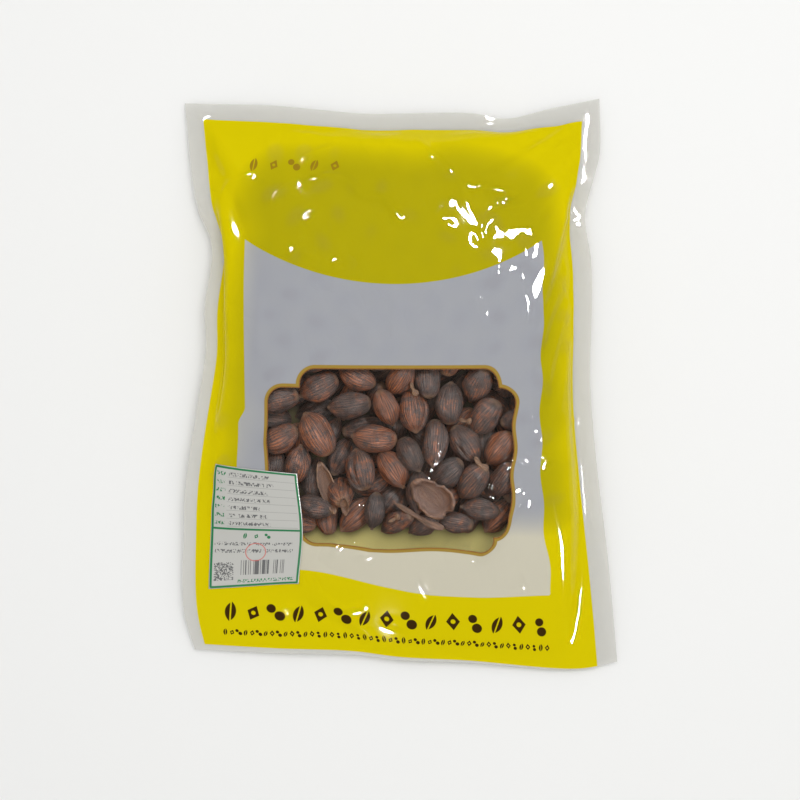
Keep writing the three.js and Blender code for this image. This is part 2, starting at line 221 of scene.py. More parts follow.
def setStudio(options):
    scene, height = bpy.context.scene, options["cameraHeight"]
    camera = bpy.data.objects.new("camera", bpy.data.cameras.new("camera"))
    camera.data.sensor_width = options["sensor"]
    camera.data.lens = options["sensor"] * (height - options["viewLevel"]) / options["viewWidth"]
    camera.location = (0, options["cameraY"], height)
    scene.collection.objects.link(camera)
    scene.camera = camera
    scene.view_settings.view_transform = "Standard"

    scene.world = bpy.data.worlds.new("sky")
    scene.world.use_nodes = True
    g, strength = Nodes(scene.world.node_tree), options["skyStrength"]
    mirrored = g.add("ShaderNodeLightPath").outputs["Is Glossy Ray"]
    strength = g.timesPlus(mirrored, options["skyMirrored"] - strength, strength)
    g.feed(g.tree.nodes["Background"].inputs, {"Color": (1, 1, 1), "Strength": strength})

    for name, (place, size, power, mirrored) in options["lights"].items():
        light = bpy.data.lights.new(name, "AREA")
        light.shape = "RECTANGLE"
        light.size, light.size_y = size
        light.energy = power
        lamp = bpy.data.objects.new(name, light)
        lamp.location = place
        lamp.rotation_euler = (Vector(options["aim"]) - Vector(place)).to_track_quat("-Z", "Y").to_euler()
        lamp.visible_glossy = mirrored
        lamp.visible_diffuse = not mirrored
        scene.collection.objects.link(lamp)

    reach = options["floorReach"]
    corners = [(-reach, -reach, 0), (reach, -reach, 0), (reach, reach, 0), (-reach, reach, 0)]
    floor = makeMesh("floor", corners, [(0, 1, 2, 3)], smooth=False)
    paint, g, surface = newMaterial("palePaper")
    mirrored = g.add("ShaderNodeLightPath").outputs["Is Glossy Ray"]
    color = g.mix(mirrored, options["floorColor"], options["floorMirrored"])
    g.feed(surface, {"Base Color": color, "Roughness": options["floorRoughness"]})
    floor.data.materials.append(paint)


setStudio(studio)
print("studio set")


# the pouch's outline, and its film laid flat
sheet = {
    "width": 300.0, "length": 398.0, "sideSeal": 13.0, "topSeal": 12.0, "footSeal": 9.0,
    # where the film's corners would be if it were stretched flat: it is cut a little askew
    "flatCorners": ((-146.2, -189.6), (154.2, -198.2), (-152.4, 199.8), (141.6, 203.2)),
    "edges": {
        "left": ((-144, -186.6), (-151.5, -158), (-151, -100), (-150, -73), (-141.5, -16), (-135.3, 25),
                 (-136.4, 52), (-131.4, 97), (-140.4, 120.4), (-144.8, 140.5), (-150.9, 196.8)),
        "right": ((152.7, -195.2), (146.2, -126.6), (136.6, -46), (133, 4), (134.2, 52), (133.7, 87),
                  (129.6, 118), (136.2, 145), (140.2, 162), (140.2, 200.1)),
        "bottom": ((-144, -186.6), (-86, -189.2), (-32, -190.3), (0, -194), (46.6, -195.7), (126, -200.5),
                   (152.7, -195.2)),
        "top": ((-150.9, 196.8), (-88, 195), (-53, 191.7), (-23.5, 189.2), (49.5, 189.6), (74, 185.8),
                (106, 193), (140.2, 200.1)),
    },
    # how high the rim stands at its corners, and how much higher half way along its sides and ends
    "sealCorner": 3.2, "sealSide": 7.2, "sealEnd": 2.4,
}


def lengthsAlong(points, power=1):
    # how far along the row each point lies
    return np.concatenate([[0], np.cumsum(np.linalg.norm(np.diff(points, axis=0), axis=1) ** power)])


def smoothEdge(points, count):
    # a centripetal curve through the points, cut into even lengths
    p = np.array(points, float)
    p = np.vstack([2 * p[0] - p[1], p, 2 * p[-1] - p[-2]])
    dense = []
    for k in range(len(p) - 3):
        q = p[k:k + 4]
        knots = lengthsAlong(q, 0.5)
        t = np.linspace(knots[1], knots[2], 40, endpoint=False)[:, None]
        between = lambda low, high, start, end: ((end - t) * low + (t - start) * high) / (end - start)
        a = [between(q[i], q[i + 1], knots[i], knots[i + 1]) for i in range(3)]
        b = [between(a[i], a[i + 1], knots[i], knots[i + 2]) for i in range(2)]
        dense.append(between(b[0], b[1], knots[1], knots[2]))
    dense = np.vstack(dense + [p[-2:-1]])
    along = lengthsAlong(dense)
    at = np.linspace(0, along[-1], count + 1)
    return np.stack([np.interp(at, along, dense[:, k]) for k in (0, 1)], 1)


def unitGrid(columns, rows):
    # shares across and up a grid of points
    return np.linspace(0, 1, columns + 1)[None, :, None], np.linspace(0, 1, rows + 1)[:, None, None]


def blendCorners(corners, a, b):
    # corners: lower left, lower right, upper left, upper right
    low, lowRight, high, highRight = (np.array(corner) for corner in corners)
    return low * (1 - a) * (1 - b) + lowRight * a * (1 - b) + high * (1 - a) * b + highRight * a * b


def planOfSheet(options, columns, rows):
    # the four edges blended over the sheet, centred as the CAD model is
    left, right = (smoothEdge(options["edges"][name], rows)[:, None] for name in ("left", "right"))
    bottom, top = (smoothEdge(options["edges"][name], columns)[None] for name in ("bottom", "top"))
    a, b = unitGrid(columns, rows)
    corners = blendCorners((bottom[:, :1], bottom[:, -1:], top[:, :1], top[:, -1:]), a, b)
    plan = bottom * (1 - b) + top * b + left * (1 - a) + right * a - corners
    low, high = plan.reshape(-1, 2).min(0), plan.reshape(-1, 2).max(0)
    return plan - (low + high) / 2


def sealLevel(options, a, b):
    along = np.sin(np.pi * b) ** 0.8
    return (options["sealCorner"] + options["sealSide"] * along
            + options["sealEnd"] * np.sin(np.pi * a) * (1 - along))


def sheetGrid(columns, rows):
    a, b = (share[..., 0] for share in unitGrid(columns, rows))
    s, t = a * sheet["width"] + 0 * b, b * sheet["length"] + 0 * a
    return s, t, sealLevel(sheet, a, b)


def fromEdges(s, t):
    # how far in from the nearer side and from the nearer end
    return np.minimum(s, sheet["width"] - s), np.minimum(t, sheet["length"] - t)


def cellValue(values, i, j, u, v):
    # the value in a cell of a grid: u across it from column i, v up it from row j
    if values.ndim == 3:
        u, v = u[..., None], v[..., None]
    return ((values[j, i] * (1 - u) + values[j, i + 1] * u) * (1 - v)
            + (values[j + 1, i] * (1 - u) + values[j + 1, i + 1] * u) * v)


def valueAt(values, u, v):
    u, v = np.clip(u, 0, values.shape[1] - 1.001), np.clip(v, 0, values.shape[0] - 1.001)
    i, j = u.astype(int), v.astype(int)
    return cellValue(values, i, j, u - i, v - j)


def sampleGrid(values, grid, x, y):
    # a value between the points of an even grid
    start, step = grid["start"], grid["step"]
    return valueAt(values, (x - start[0]) / step, (y - start[1]) / step)


def gridLines(grid):
    rows, columns = grid["size"]
    return (start + grid["step"] * np.arange(count) for start, count in zip(grid["start"], (columns, rows)))


def blurGrid(grid, times):
    for _ in range(times):
        padded = np.pad(grid, 1, mode="edge")
        grid = (padded[1:-1, :-2] + padded[1:-1, 2:] + 2 * grid) / 4
        padded = np.pad(grid, 1, mode="edge")
        grid = (padded[:-2, 1:-1] + padded[2:, 1:-1] + 2 * grid) / 4
    return grid


def closedOver(grid, cells):
    # fills hollows narrower than twice that many cells
    for pick, start in ((np.maximum, -1e9), (np.minimum, 1e9)):
        padded, result = np.pad(grid, cells, constant_values=start), np.full(grid.shape, start)
        for j in range(2 * cells + 1):
            for i in range(2 * cells + 1):
                result = pick(result, padded[j:j + grid.shape[0], i:i + grid.shape[1]])
        grid = result
    return grid


def roomInPouch(step, hollow):
    # the room between the pouch's two sides, over an even grid
    trees = []
    for name in ("pouch", "pods"):
        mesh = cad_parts[name].data
        corners, faces = [v.co for v in mesh.vertices], [p.vertices[:] for p in mesh.polygons]
        trees.append(BVHTree.FromPolygons(corners, faces))
    low, high = (np.array(corner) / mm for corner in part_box("pouch"))
    xs, ys = (np.arange(low[k] - step, high[k] + 2 * step, step) for k in (0, 1))
    top, bottom = np.zeros((2, len(ys), len(xs)))
    for j, y in enumerate(ys):
        for i, x in enumerate(xs):
            above, below = Vector((x * mm, y * mm, 0.2)), Vector((x * mm, y * mm, -0.1))
            down = [tree.ray_cast(above, Vector((0, 0, -1)))[0] for tree in trees]
            up = trees[0].ray_cast(below, Vector((0, 0, 1)))[0]
            top[j, i] = max([hit.z / mm for hit in down if hit], default=0)
            bottom[j, i] = up.z / mm if up else 0
    # between the pods in the window the room goes up to the film over them
    return {"start": (xs[0], ys[0]), "step": step}, closedOver(top, hollow), bottom


# the pods, packed into that room
contents = {
    "seed": 3, "upper": 58, "lower": 112, "underWindow": 48, "steps": 320, "roomStep": 4.0, "roomHollow": 4,
    "halfLength": (13.6, 16.4), "radius": (9.3, 11.2), "roundness": 0.97, "endRadius": 0.78,
    "headroom": 3.5, "topBlur": 8, "upperReach": 90, "foot": -104.5, "upperFrom": 20, "tones": (1.6, 2.2),
    # upper layer, then the pods below it: room needed, and height to start at
    "leastRoom": (33, 22), "startHeight": (34, 11),
    # how far apart pods are dropped, and how much nearer after each try; tilt of loose and placed pods
    "apart": (17.5, 0.004), "tilt": (0.22, 0.1),
    # in each step: how far balls push apart, and how far pods fall, rise to the film, and level out
    "push": 0.3, "fall": 0.12, "rise": 0.35, "levelling": 0.97,
    # shares of the steps: how long the window's pods keep their turn; when all pods slow down, and how much
    "turnedUntil": 0.3, "settling": (0.8, 0.2),
    # room kept under the film and over the back, and the pushes off the foot, the back and the film
    "clearance": (1.2, 0.8), "walls": (0.4, 0.8, 0.6),
    # where it is tight a ball slides towards more room: least slope that counts, farthest slide, and share
    "sideways": (0.3, 3, 0.5),
    # broken pieces: lowest rest, share of the length that rests, steepest slope, roll; rise of each shape
    "resting": (8, 0.42, 0.5, 0.2), "brokenRise": (0.6, 0.35, 0.35),
    "shapes": 5, "hold": 0.35,
    "field": ((-112, 112), (-84, 150)), "windowField": ((-92, 80), (-88, 14)),
    # pods in the window: x, y, length, width, angle, tone (0 dark, 0.5 grey brown, 1 orange)
    "window": (
        (-56, -2, 29, 21, 72, 0.50), (-30, 5, 29, 21, -12, 0.72), (-35, -14, 30, 21, 20, 0.32),
        (-16, -10, 27, 20, 80, 0.42), (-58, -35, 34, 25, -22, 0.72), (-83, -38, 29, 21, 60, 0.70),
        (-72, -55, 29, 21, -35, 0.62), (-18, -38, 32, 22, 10, 0.76), (-8, -16, 28, 19, 65, 0.92),
        (8, -19, 31, 23, 66, 0.66), (19, 4, 29, 20, -10, 0.30), (0, 3, 29, 20, 70, 0.82),
        (35, -13, 30, 22, -65, 0.34), (54, -1, 29, 22, 30, 0.48), (59, -23, 29, 22, 40, 0.46),
        (69, -45, 28, 21, 52, 0.84), (46, -42, 31, 22, 84, 0.38), (23, -42, 34, 20, 70, 0.40),
        (-3, -58, 30, 21, 30, 0.82), (-27, -59, 30, 22, -15, 0.52), (-60, -85, 29, 17, -8, 0.30),
        (-18, -88, 27, 17, 5, 0.14), (-2, -97, 27, 16, -6, 0.55), (32, -61, 28, 20, 75, 0.20),
        (50, -68, 29, 21, 60, 0.44), (70, -66, 28, 20, 40, 0.34), (55, -87, 28, 17, 10, 0.36),
        (38, -94, 27, 17, 0, 0.34), (16, -97, 26, 16, 20, 0.28), (-84, -11, 29, 20, 50, 0.40),
        (7, -50, 27, 19, 60, 0.24), (-87, -56, 27, 19, 80, 0.30),
    ),
    # broken husks and stalks that lie on the pods: x, y, length, width, height, angle, shape, tone
    "broken": (
        (22.4, -78.3, 33.7, 25.4, 9, -50, 0, 0.55), (-50.4, -72, 38.4, 12, 7, -73, 1, 0.9),
        (-38, -83.2, 15, 6.5, 5, -82, 1, 0.85), (12.8, -91.4, 39.6, 5.9, 4.5, -26, 2, 0.6),
        (55.5, -55, 13.5, 5.6, 3.5, -38, 2, 1.0), (45.2, -25.3, 10, 4.6, 3, 5, 2, 0.8),
        (9.5, -3.5, 11, 4.4, 3, -55, 2, 1.0), (68, 7, 12, 6, 3.5, 60, 1, 0.9), (-4, -93, 9, 4, 3, 40, 2, 0.9),
    ),
}


def packPods(options, grid, top, bottom):
    # each pod is three balls in a row: they push apart until none overlap
    rng = np.random.default_rng(options["seed"])
    top = blurGrid(top, options["topBlur"]) - options["headroom"]
    gap = top - bottom
    at = lambda values, x, y: sampleGrid(values, grid, x, y)
    placed = np.array(options["window"])
    shown, upper = len(placed), len(placed) + options["upper"]
    count = upper + options["lower"]
    middle = np.zeros((count, 3))
    middle[:shown, :2], middle[:shown, 2] = placed[:, :2], options["startHeight"][0]
    half, radius = rng.uniform(*options["halfLength"], count), rng.uniform(*options["radius"], count)
    half[:shown], radius[:shown] = placed[:, 2] / 2, placed[:, 3] / 2
    (windowLeft, windowRight), (windowLow, windowHigh) = options["windowField"]
    k, tries = shown, 0
    while k < count:
        layer = 0 if k < upper else 1
        field = options["windowField" if upper <= k < upper + options["underWindow"] else "field"]
        x, y = rng.uniform(*field[0]), rng.uniform(*field[1])
        if at(gap, x, y) < options["leastRoom"][layer]:
            continue
        first = (0, upper)[layer]
        nearest = np.hypot(middle[first:k, 0] - x, middle[first:k, 1] - y).min() if k > first else 99
        crowded = nearest < options["apart"][0] - options["apart"][1] * tries
        inWindow = windowLeft < x < windowRight and windowLow < y < windowHigh
        if crowded or layer == 0 and (inWindow or abs(x) > options["upperReach"]):
            tries += 1
            continue
        middle[k] = x, y, options["startHeight"][layer]
        k += 1
    turn, tilt = rng.uniform(0, 2 * np.pi, count), rng.normal(0, options["tilt"][0], count)
    turn[:shown], tilt[:shown] = np.radians(placed[:, 4]), rng.normal(0, options["tilt"][1], shown)
    axis = np.stack([np.cos(turn) * np.cos(tilt), np.sin(turn) * np.cos(tilt), np.sin(tilt)], 1)
    endRadius = options["endRadius"] * radius
    reach = (half - endRadius)[:, None]
    ball = np.concatenate([radius, endRadius, endRadius])
    owner = np.tile(np.arange(count), 3)
    apart = np.where(owner[:, None] == owner[None], 0, ball[:, None] + ball[None])
    slopeX, slopeY = (np.gradient(gap, grid["step"], axis=k) for k in (1, 0))
    (under, over), (footPush, backPush, filmPush) = options["clearance"], options["walls"]
    leastSteep, mostTight, sidewaysShare = options["sideways"]
    slowFrom, slow = options["settling"]
    for n in range(options["steps"]):
        balls = np.concatenate([middle, middle + axis * reach, middle - axis * reach])
        between = balls[:, None] - balls[None]
        distance = np.sqrt(np.einsum("ijk,ijk->ij", between, between)) + 1e-9
        share = np.maximum(0, apart - distance) / distance
        push = np.einsum("ijk,ij->ik", between, share) * options["push"]
        x, y = balls[:, 0], balls[:, 1]
        ceiling, floor = at(top, x, y) - under, at(bottom, x, y) + over
        tight = np.maximum(0, 2 * ball - (ceiling - floor))
        gx, gy = at(slopeX, x, y), at(slopeY, x, y)
        steep = np.hypot(gx, gy) + 1e-6
        sideways = np.minimum(tight / np.maximum(steep, leastSteep), mostTight) * sidewaysShare / steep
        push[:, 0] += gx * sideways
        push[:, 1] += gy * sideways
        push[:, 1] += np.maximum(0, options["foot"] + ball - y) * footPush
        push[:, 2] += (np.maximum(0, floor - balls[:, 2] + ball) * backPush
                       - np.maximum(0, balls[:, 2] + ball - ceiling) * filmPush)
        pushMiddle, pushA, pushB = push[:count], push[count:2 * count], push[2 * count:]
        endA = balls[count:2 * count] + pushA + pushMiddle * 0.5
        endB = balls[2 * count:] + pushB + pushMiddle * 0.5
        middle = (endA + endB) / 2 + pushMiddle * 0.25
        settling = 1 if n < slowFrom * options["steps"] else slow
        middle[:, 2] -= options["fall"] * settling
        middle[:upper, 2] += options["rise"] * settling  # the upper layer is held against the film
        middle[:shown, :2] += (placed[:, :2] - middle[:shown, :2]) * options["hold"]
        axis = endA - endB
        axis[:, 2] *= options["levelling"]
        axis /= np.linalg.norm(axis, axis=1, keepdims=True)
        if n < options["turnedUntil"] * options["steps"]:
            level = np.sqrt(1 - axis[:shown, 2] ** 2)
            axis[:shown, 0] = np.cos(turn[:shown]) * level
            axis[:shown, 1] = np.sin(turn[:shown]) * level
    strayed = np.hypot(*(placed[:, :2] - middle[:shown, :2]).T)
    print(f"the window's pods strayed {strayed.mean():.1f} mm, at most {strayed.max():.1f}")
    shape, tone = np.arange(count) % options["shapes"], rng.beta(*options["tones"], count)
    tone[:shown] = placed[:, 5]
    return {"middle": middle, "axis": axis, "half": half, "radius": radius, "tone": tone, "shape": shape,
            "height": radius * options["roundness"], "roll": rng.uniform(0, 2 * np.pi, count)}


def topAt(middle, axis, half, radius, height, x, y):
    # the upper side of an ellipsoid over points x, y
    x, y = x - middle[0], y - middle[1]
    flat = math.hypot(axis[0], axis[1])
    along, across = (x * axis[0] + y * axis[1]) / flat, (y * axis[0] - x * axis[1]) / flat
    a = (axis[2] / half) ** 2 + (flat / height) ** 2
    b = along * flat * axis[2] * (1 / half ** 2 - 1 / height ** 2)
    c = (along * flat / half) ** 2 + (along * axis[2] / height) ** 2 + (across / radius) ** 2 - 1
    inside = b * b - a * c
    return np.where(inside > 0, (np.sqrt(np.maximum(inside, 0)) - b) / a + middle[2], -50)


def piecesOf(pieces):
    return zip(*(pieces[key] for key in ("middle", "axis", "half", "radius", "height")))


def topOf(pieces, grid, tops=None):
    # the height of the pieces' upper sides over an even grid
    xs, ys = gridLines(grid)
    tops = np.full(grid["size"], -50.0) if tops is None else tops.copy()
    for piece in piecesOf(pieces):
        (x, y, _), reach = piece[0], piece[2] + 1
        i0, i1 = np.searchsorted(xs, [x - reach, x + reach])
        j0, j1 = np.searchsorted(ys, [y - reach, y + reach])
        top = topAt(*piece, *np.meshgrid(xs[i0:i1], ys[j0:j1]))
        tops[j0:j1, i0:i1] = np.maximum(tops[j0:j1, i0:i1], top)
    return tops


def pressUnder(pieces, front, clearance):
    # sinks each piece that would come through the film
    points, pressed = front.reshape(-1, 3), 0
    for k, piece in enumerate(piecesOf(pieces)):
        near = points[np.abs(points[:, :2] - piece[0][:2]).max(1) < piece[2] + 1]
        tooHigh = (topAt(*piece, near[:, 0], near[:, 1]) + clearance - near[:, 2]).max()
        if tooHigh > 0:
            pieces["middle"][k, 2] -= tooHigh
            pressed += 1
    return pressed


def keepAbove(pieces, floor, thinnest):
    # flattens each piece that the film pressed through the back sheet
    flattened = 0
    for k, (middle, axis, half, radius, height) in enumerate(piecesOf(pieces)):
        reach = math.hypot(half * axis[2], height * math.hypot(axis[0], axis[1]))
        if middle[2] - reach < floor:
            share = max((middle[2] + reach - floor) / (2 * reach), thinnest)
            pieces["middle"][k, 2] = floor + share * reach
            pieces["height"][k] *= share
            level = axis * (1, 1, share)
            pieces["axis"][k] = level / np.linalg.norm(level)
            flattened += 1
    return flattened


room = roomInPouch(contents["roomStep"], contents["roomHollow"])
print("room inside the pouch read from the CAD")
pods = packPods(contents, *room)
podGrid = {"start": (-156.0, -204.0), "step": 1.5, "size": (274, 210)}
podTops = topOf(pods, podGrid)


def layBroken(options, tops, grid):
    # broken pieces rest on the pods under them, and lean as they do
    rng, pieces = np.random.default_rng(options["seed"] + 1), []
    floor, reach, steepest, roll = options["resting"]
    for x, y, length, width, height, angle, shape, tone in options["broken"]:
        course = np.array([math.cos(math.radians(angle)), math.sin(math.radians(angle))])
        ends = [np.array([x, y]) + side * reach * length * course for side in (-1, 0, 1)]
        low, mid, high = (float(sampleGrid(np.maximum(tops, floor), grid, *end)) for end in ends)
        slope = np.clip((high - low) / (2 * reach * length), -steepest, steepest)
        axis = np.array([*course, slope])
        rise = options["brokenRise"][shape] * height
        pieces.append({
            "middle": (x, y, max(mid, (low + high) / 2) + rise), "axis": axis / np.linalg.norm(axis),
            "half": length / 2, "radius": width / 2, "height": height / 2,
            "roll": rng.uniform(-roll, roll), "shape": shape, "tone": tone})
    return {key: np.array([piece[key] for piece in pieces]) for key in pieces[0]}


brokenPieces = layBroken(contents, podTops, podGrid)
contentTops = topOf(brokenPieces, podGrid, podTops)
print(len(pods["half"]), "pods packed, highest at", round(float(contentTops.max()), 1), "mm")


# the film is relaxed over its contents: springs keep its lengths while air lifts it
relaxing = {
    # columns, rows, steps, air pressure, damping, bending, how hard the film resists shortening
    "stages": (
        (47, 62, 850, 0.0015, 0.97, 0.03, 0.4), (94, 124, 560, 0.0004, 0.96, 0.06, 0.3),
        (188, 248, 340, 0.0001, 0.95, 0.10, 0.2),
    ),
    # it starts as a low dome, stays above the pods and the floor, and is held to a greatest speed
    "seed": 5, "startRise": 30.0, "startSlope": (60.0, 0.22), "startNoise": 0.3,
    "overPods": 0.8, "floor": 4.0, "fastest": 2.0,
    # the welded strips at the sides, foot and top are drawn down to the seal
    "strips": (13.5, 8.0, 12.0), "stripPull": 0.08,
    # the label's box on the flat film, how far it fades out, and the blurring that bridges hollows
    "label": (16.0, 82.0, 48.0, 139.0), "labelFade": 16.0, "labelBlur": (5, 12, 20),
    "filmStart": (146, 194),  # how far the film's corner lies to the left of the middle and below it
}


def pull(a, b, length, stretch, squeeze):
    # brings pairs of points back towards their length
    d = b - a
    now = np.sqrt(np.einsum("...k,...k->...", d, d))
    error = now - length
    d *= (np.where(error > 0, stretch, squeeze) * error * 0.5 / np.maximum(now, 1e-6))[..., None]
    a += d
    b -= d


def flatLengths(corners, columns, rows):
    flat = blendCorners(corners, *unitGrid(columns, rows))
    apart = lambda p, q: np.linalg.norm(q - p, axis=-1)
    return (apart(flat[:, :-1], flat[:, 1:]), apart(flat[:-1], flat[1:]),
            apart(flat[:-1, :-1], flat[1:, 1:]), apart(flat[:-1, 1:], flat[1:, :-1]))


def tighten(film, lengths, bend, squeeze):
    across, along, rising, falling = lengths
    for o in (0, 1):
        m = (film.shape[1] - o) // 2 * 2
        pull(film[:, o:o + m:2], film[:, o + 1:o + m:2], across[:, o:o + m - 1:2], 1, squeeze)
        m = (film.shape[0] - o) // 2 * 2
        low, high = film[o:o + m:2], film[o + 1:o + m:2]
        pull(low, high, along[o:o + m - 1:2], 1, squeeze)
        pull(low[:, :-1], high[:, 1:], rising[o:o + m - 1:2], 1, squeeze)
        pull(low[:, 1:], high[:, :-1], falling[o:o + m - 1:2], 1, squeeze)
    for points, length in ((film, across), (film.swapaxes(0, 1), along.T)):
        double, n = length[:, :-1] + length[:, 1:], points.shape[1]
        for o in range(4):
            a = points[:, o:n - 2:4]
            pull(a, points[:, o + 2:n:4][:, :a.shape[1]], double[:, o:n - 2:4], 0, bend)


def finerGrid(film, columns, rows):
    v, u = (np.linspace(0, size - 1, count + 1) for size, count in zip(film.shape, (rows, columns)))
    j, i = (np.minimum(at.astype(int), size - 2) for at, size in zip((v, u), film.shape))
    return smoothed(cellValue(film, i[None], j[:, None], (u - i)[None], (v - j)[:, None]))


def smoothed(film, share=0.5):
    result = film.copy()
    around = (film[:-2, 1:-1] + film[2:, 1:-1] + film[1:-1, :-2] + film[1:-1, 2:]) / 4
    result[1:-1, 1:-1] += (around - film[1:-1, 1:-1]) * (share if np.isscalar(share) else share[1:-1, 1:-1])
    return result


def normalsOf(film):
    n = np.cross(np.gradient(film, axis=1), np.gradient(film, axis=0))
    return n / (np.linalg.norm(n, axis=-1, keepdims=True) + 1e-9)


def relaxFilm(options, tops, grid):
    rng, film = np.random.default_rng(options["seed"]), None
    for columns, rows, steps, pressure, damping, bend, squeeze in options["stages"]:
        plan, (s, t, seal) = planOfSheet(sheet, columns, rows), sheetGrid(columns, rows)
        lengths = flatLengths(sheet["flatCorners"], columns, rows)
        fromSide, fromEnd = fromEdges(s, t)
        if film is None:
            reach, less = options["startSlope"]
            rise = np.sin(np.pi / 2 * np.clip(np.minimum(fromSide, fromEnd) / reach - less, 0, 1))
            film = np.concatenate([plan, (seal + options["startRise"] * rise)[..., None]], -1)
            film[1:-1, 1:-1, 2] += rng.normal(0, options["startNoise"], film[1:-1, 1:-1, 2].shape)
        else:
            film = finerGrid(film, columns, rows)
        rim = np.ones(s.shape, bool)
        rim[1:-1, 1:-1] = False
        held = np.concatenate([plan, seal[..., None]], -1)[rim]
        side, foot, head = options["strips"]
        strip = (fromSide < side) | (t < foot) | (sheet["length"] - t < head)
        speed, floor, fastest = np.zeros_like(film), np.minimum(seal, options["floor"]), options["fastest"]
        for n in range(steps):
            speed = (speed + pressure * normalsOf(film)) * damping
            before = film.copy()
            film += speed
            film[rim] = held
            tighten(film, lengths, bend, squeeze)
            z = film[..., 2]
            z[strip] += options["stripPull"] * (seal - z)[strip]
            under = sampleGrid(tops, grid, film[..., 0], film[..., 1]) + options["overPods"]
            np.maximum(z, np.maximum(under, floor), out=z)
            film[rim] = held
            speed = np.clip(film - before, -fastest, fastest)
        print(f"film relaxed on {columns} by {rows} cells, highest at {film[..., 2].max():.1f} mm")
    return film


def underLabel(options, tops, grid):
    # the stiff paper bridges the hollows between the pods
    x, y = np.meshgrid(*(line + start for line, start in zip(gridLines(grid), options["filmStart"])))
    left, right, low, high = options["label"]
    outS, outT = np.maximum(left - x, x - right), np.maximum(low - y, y - high)
    away = np.hypot(np.maximum(outS, 0), np.maximum(outT, 0))
    times, blur, lastBlur = options["labelBlur"]
    filled = np.maximum(tops, 0)
    for _ in range(times):
        filled = np.maximum(filled, blurGrid(filled, blur))
    share = np.clip(1 - away / options["labelFade"], 0, 1)
    return np.where(tops > -20, tops * (1 - share) + blurGrid(filled, lastBlur) * share, tops)


film = relaxFilm(relaxing, underLabel(relaxing, contentTops, podGrid), podGrid)


# the pouch: front film, back film and their welded rim
pouch = {
    "smoothing": 3, "backGap": 0.25, "backDrop": 10.0, "backRipple": 0.35, "backFlatFrom": 6.0,
    "printedBackStart": 500.0,
    # pods and broken pieces stay this far under the film; pods over the back film, and how thin at least
    "clearance": (1.2, 0.5), "podFloor": 1.6, "podThinnest": 0.12, "touchReach": 2.2,
    # the print's darkening over pods is partly the dark pods seen through it and partly painted shade
    # how dark the pods make the print, how much more where they touch it, and the depth that this fades over
    "podShade": (0.93, 0.07, 12.0, 2.0), "coverBlur": (3, 90, 6), "cover": (0.55, 0.75),
    # the rim of the front film is drawn smooth: times, and how far in from the edges and the corners
    "rimSmoothing": (14, 30.0, 55.0),
    # the inner side of the foot of the back film is crumpled: height, size, sets of creases, and where it
    # starts and stops with the lengths of its fades
    "crumple": (2.6, 6.5, 9), "crumpleFrom": (50.0, 20.0), "crumpleTo": (118.0, 30.0), "crumpleSeed": 9,
}

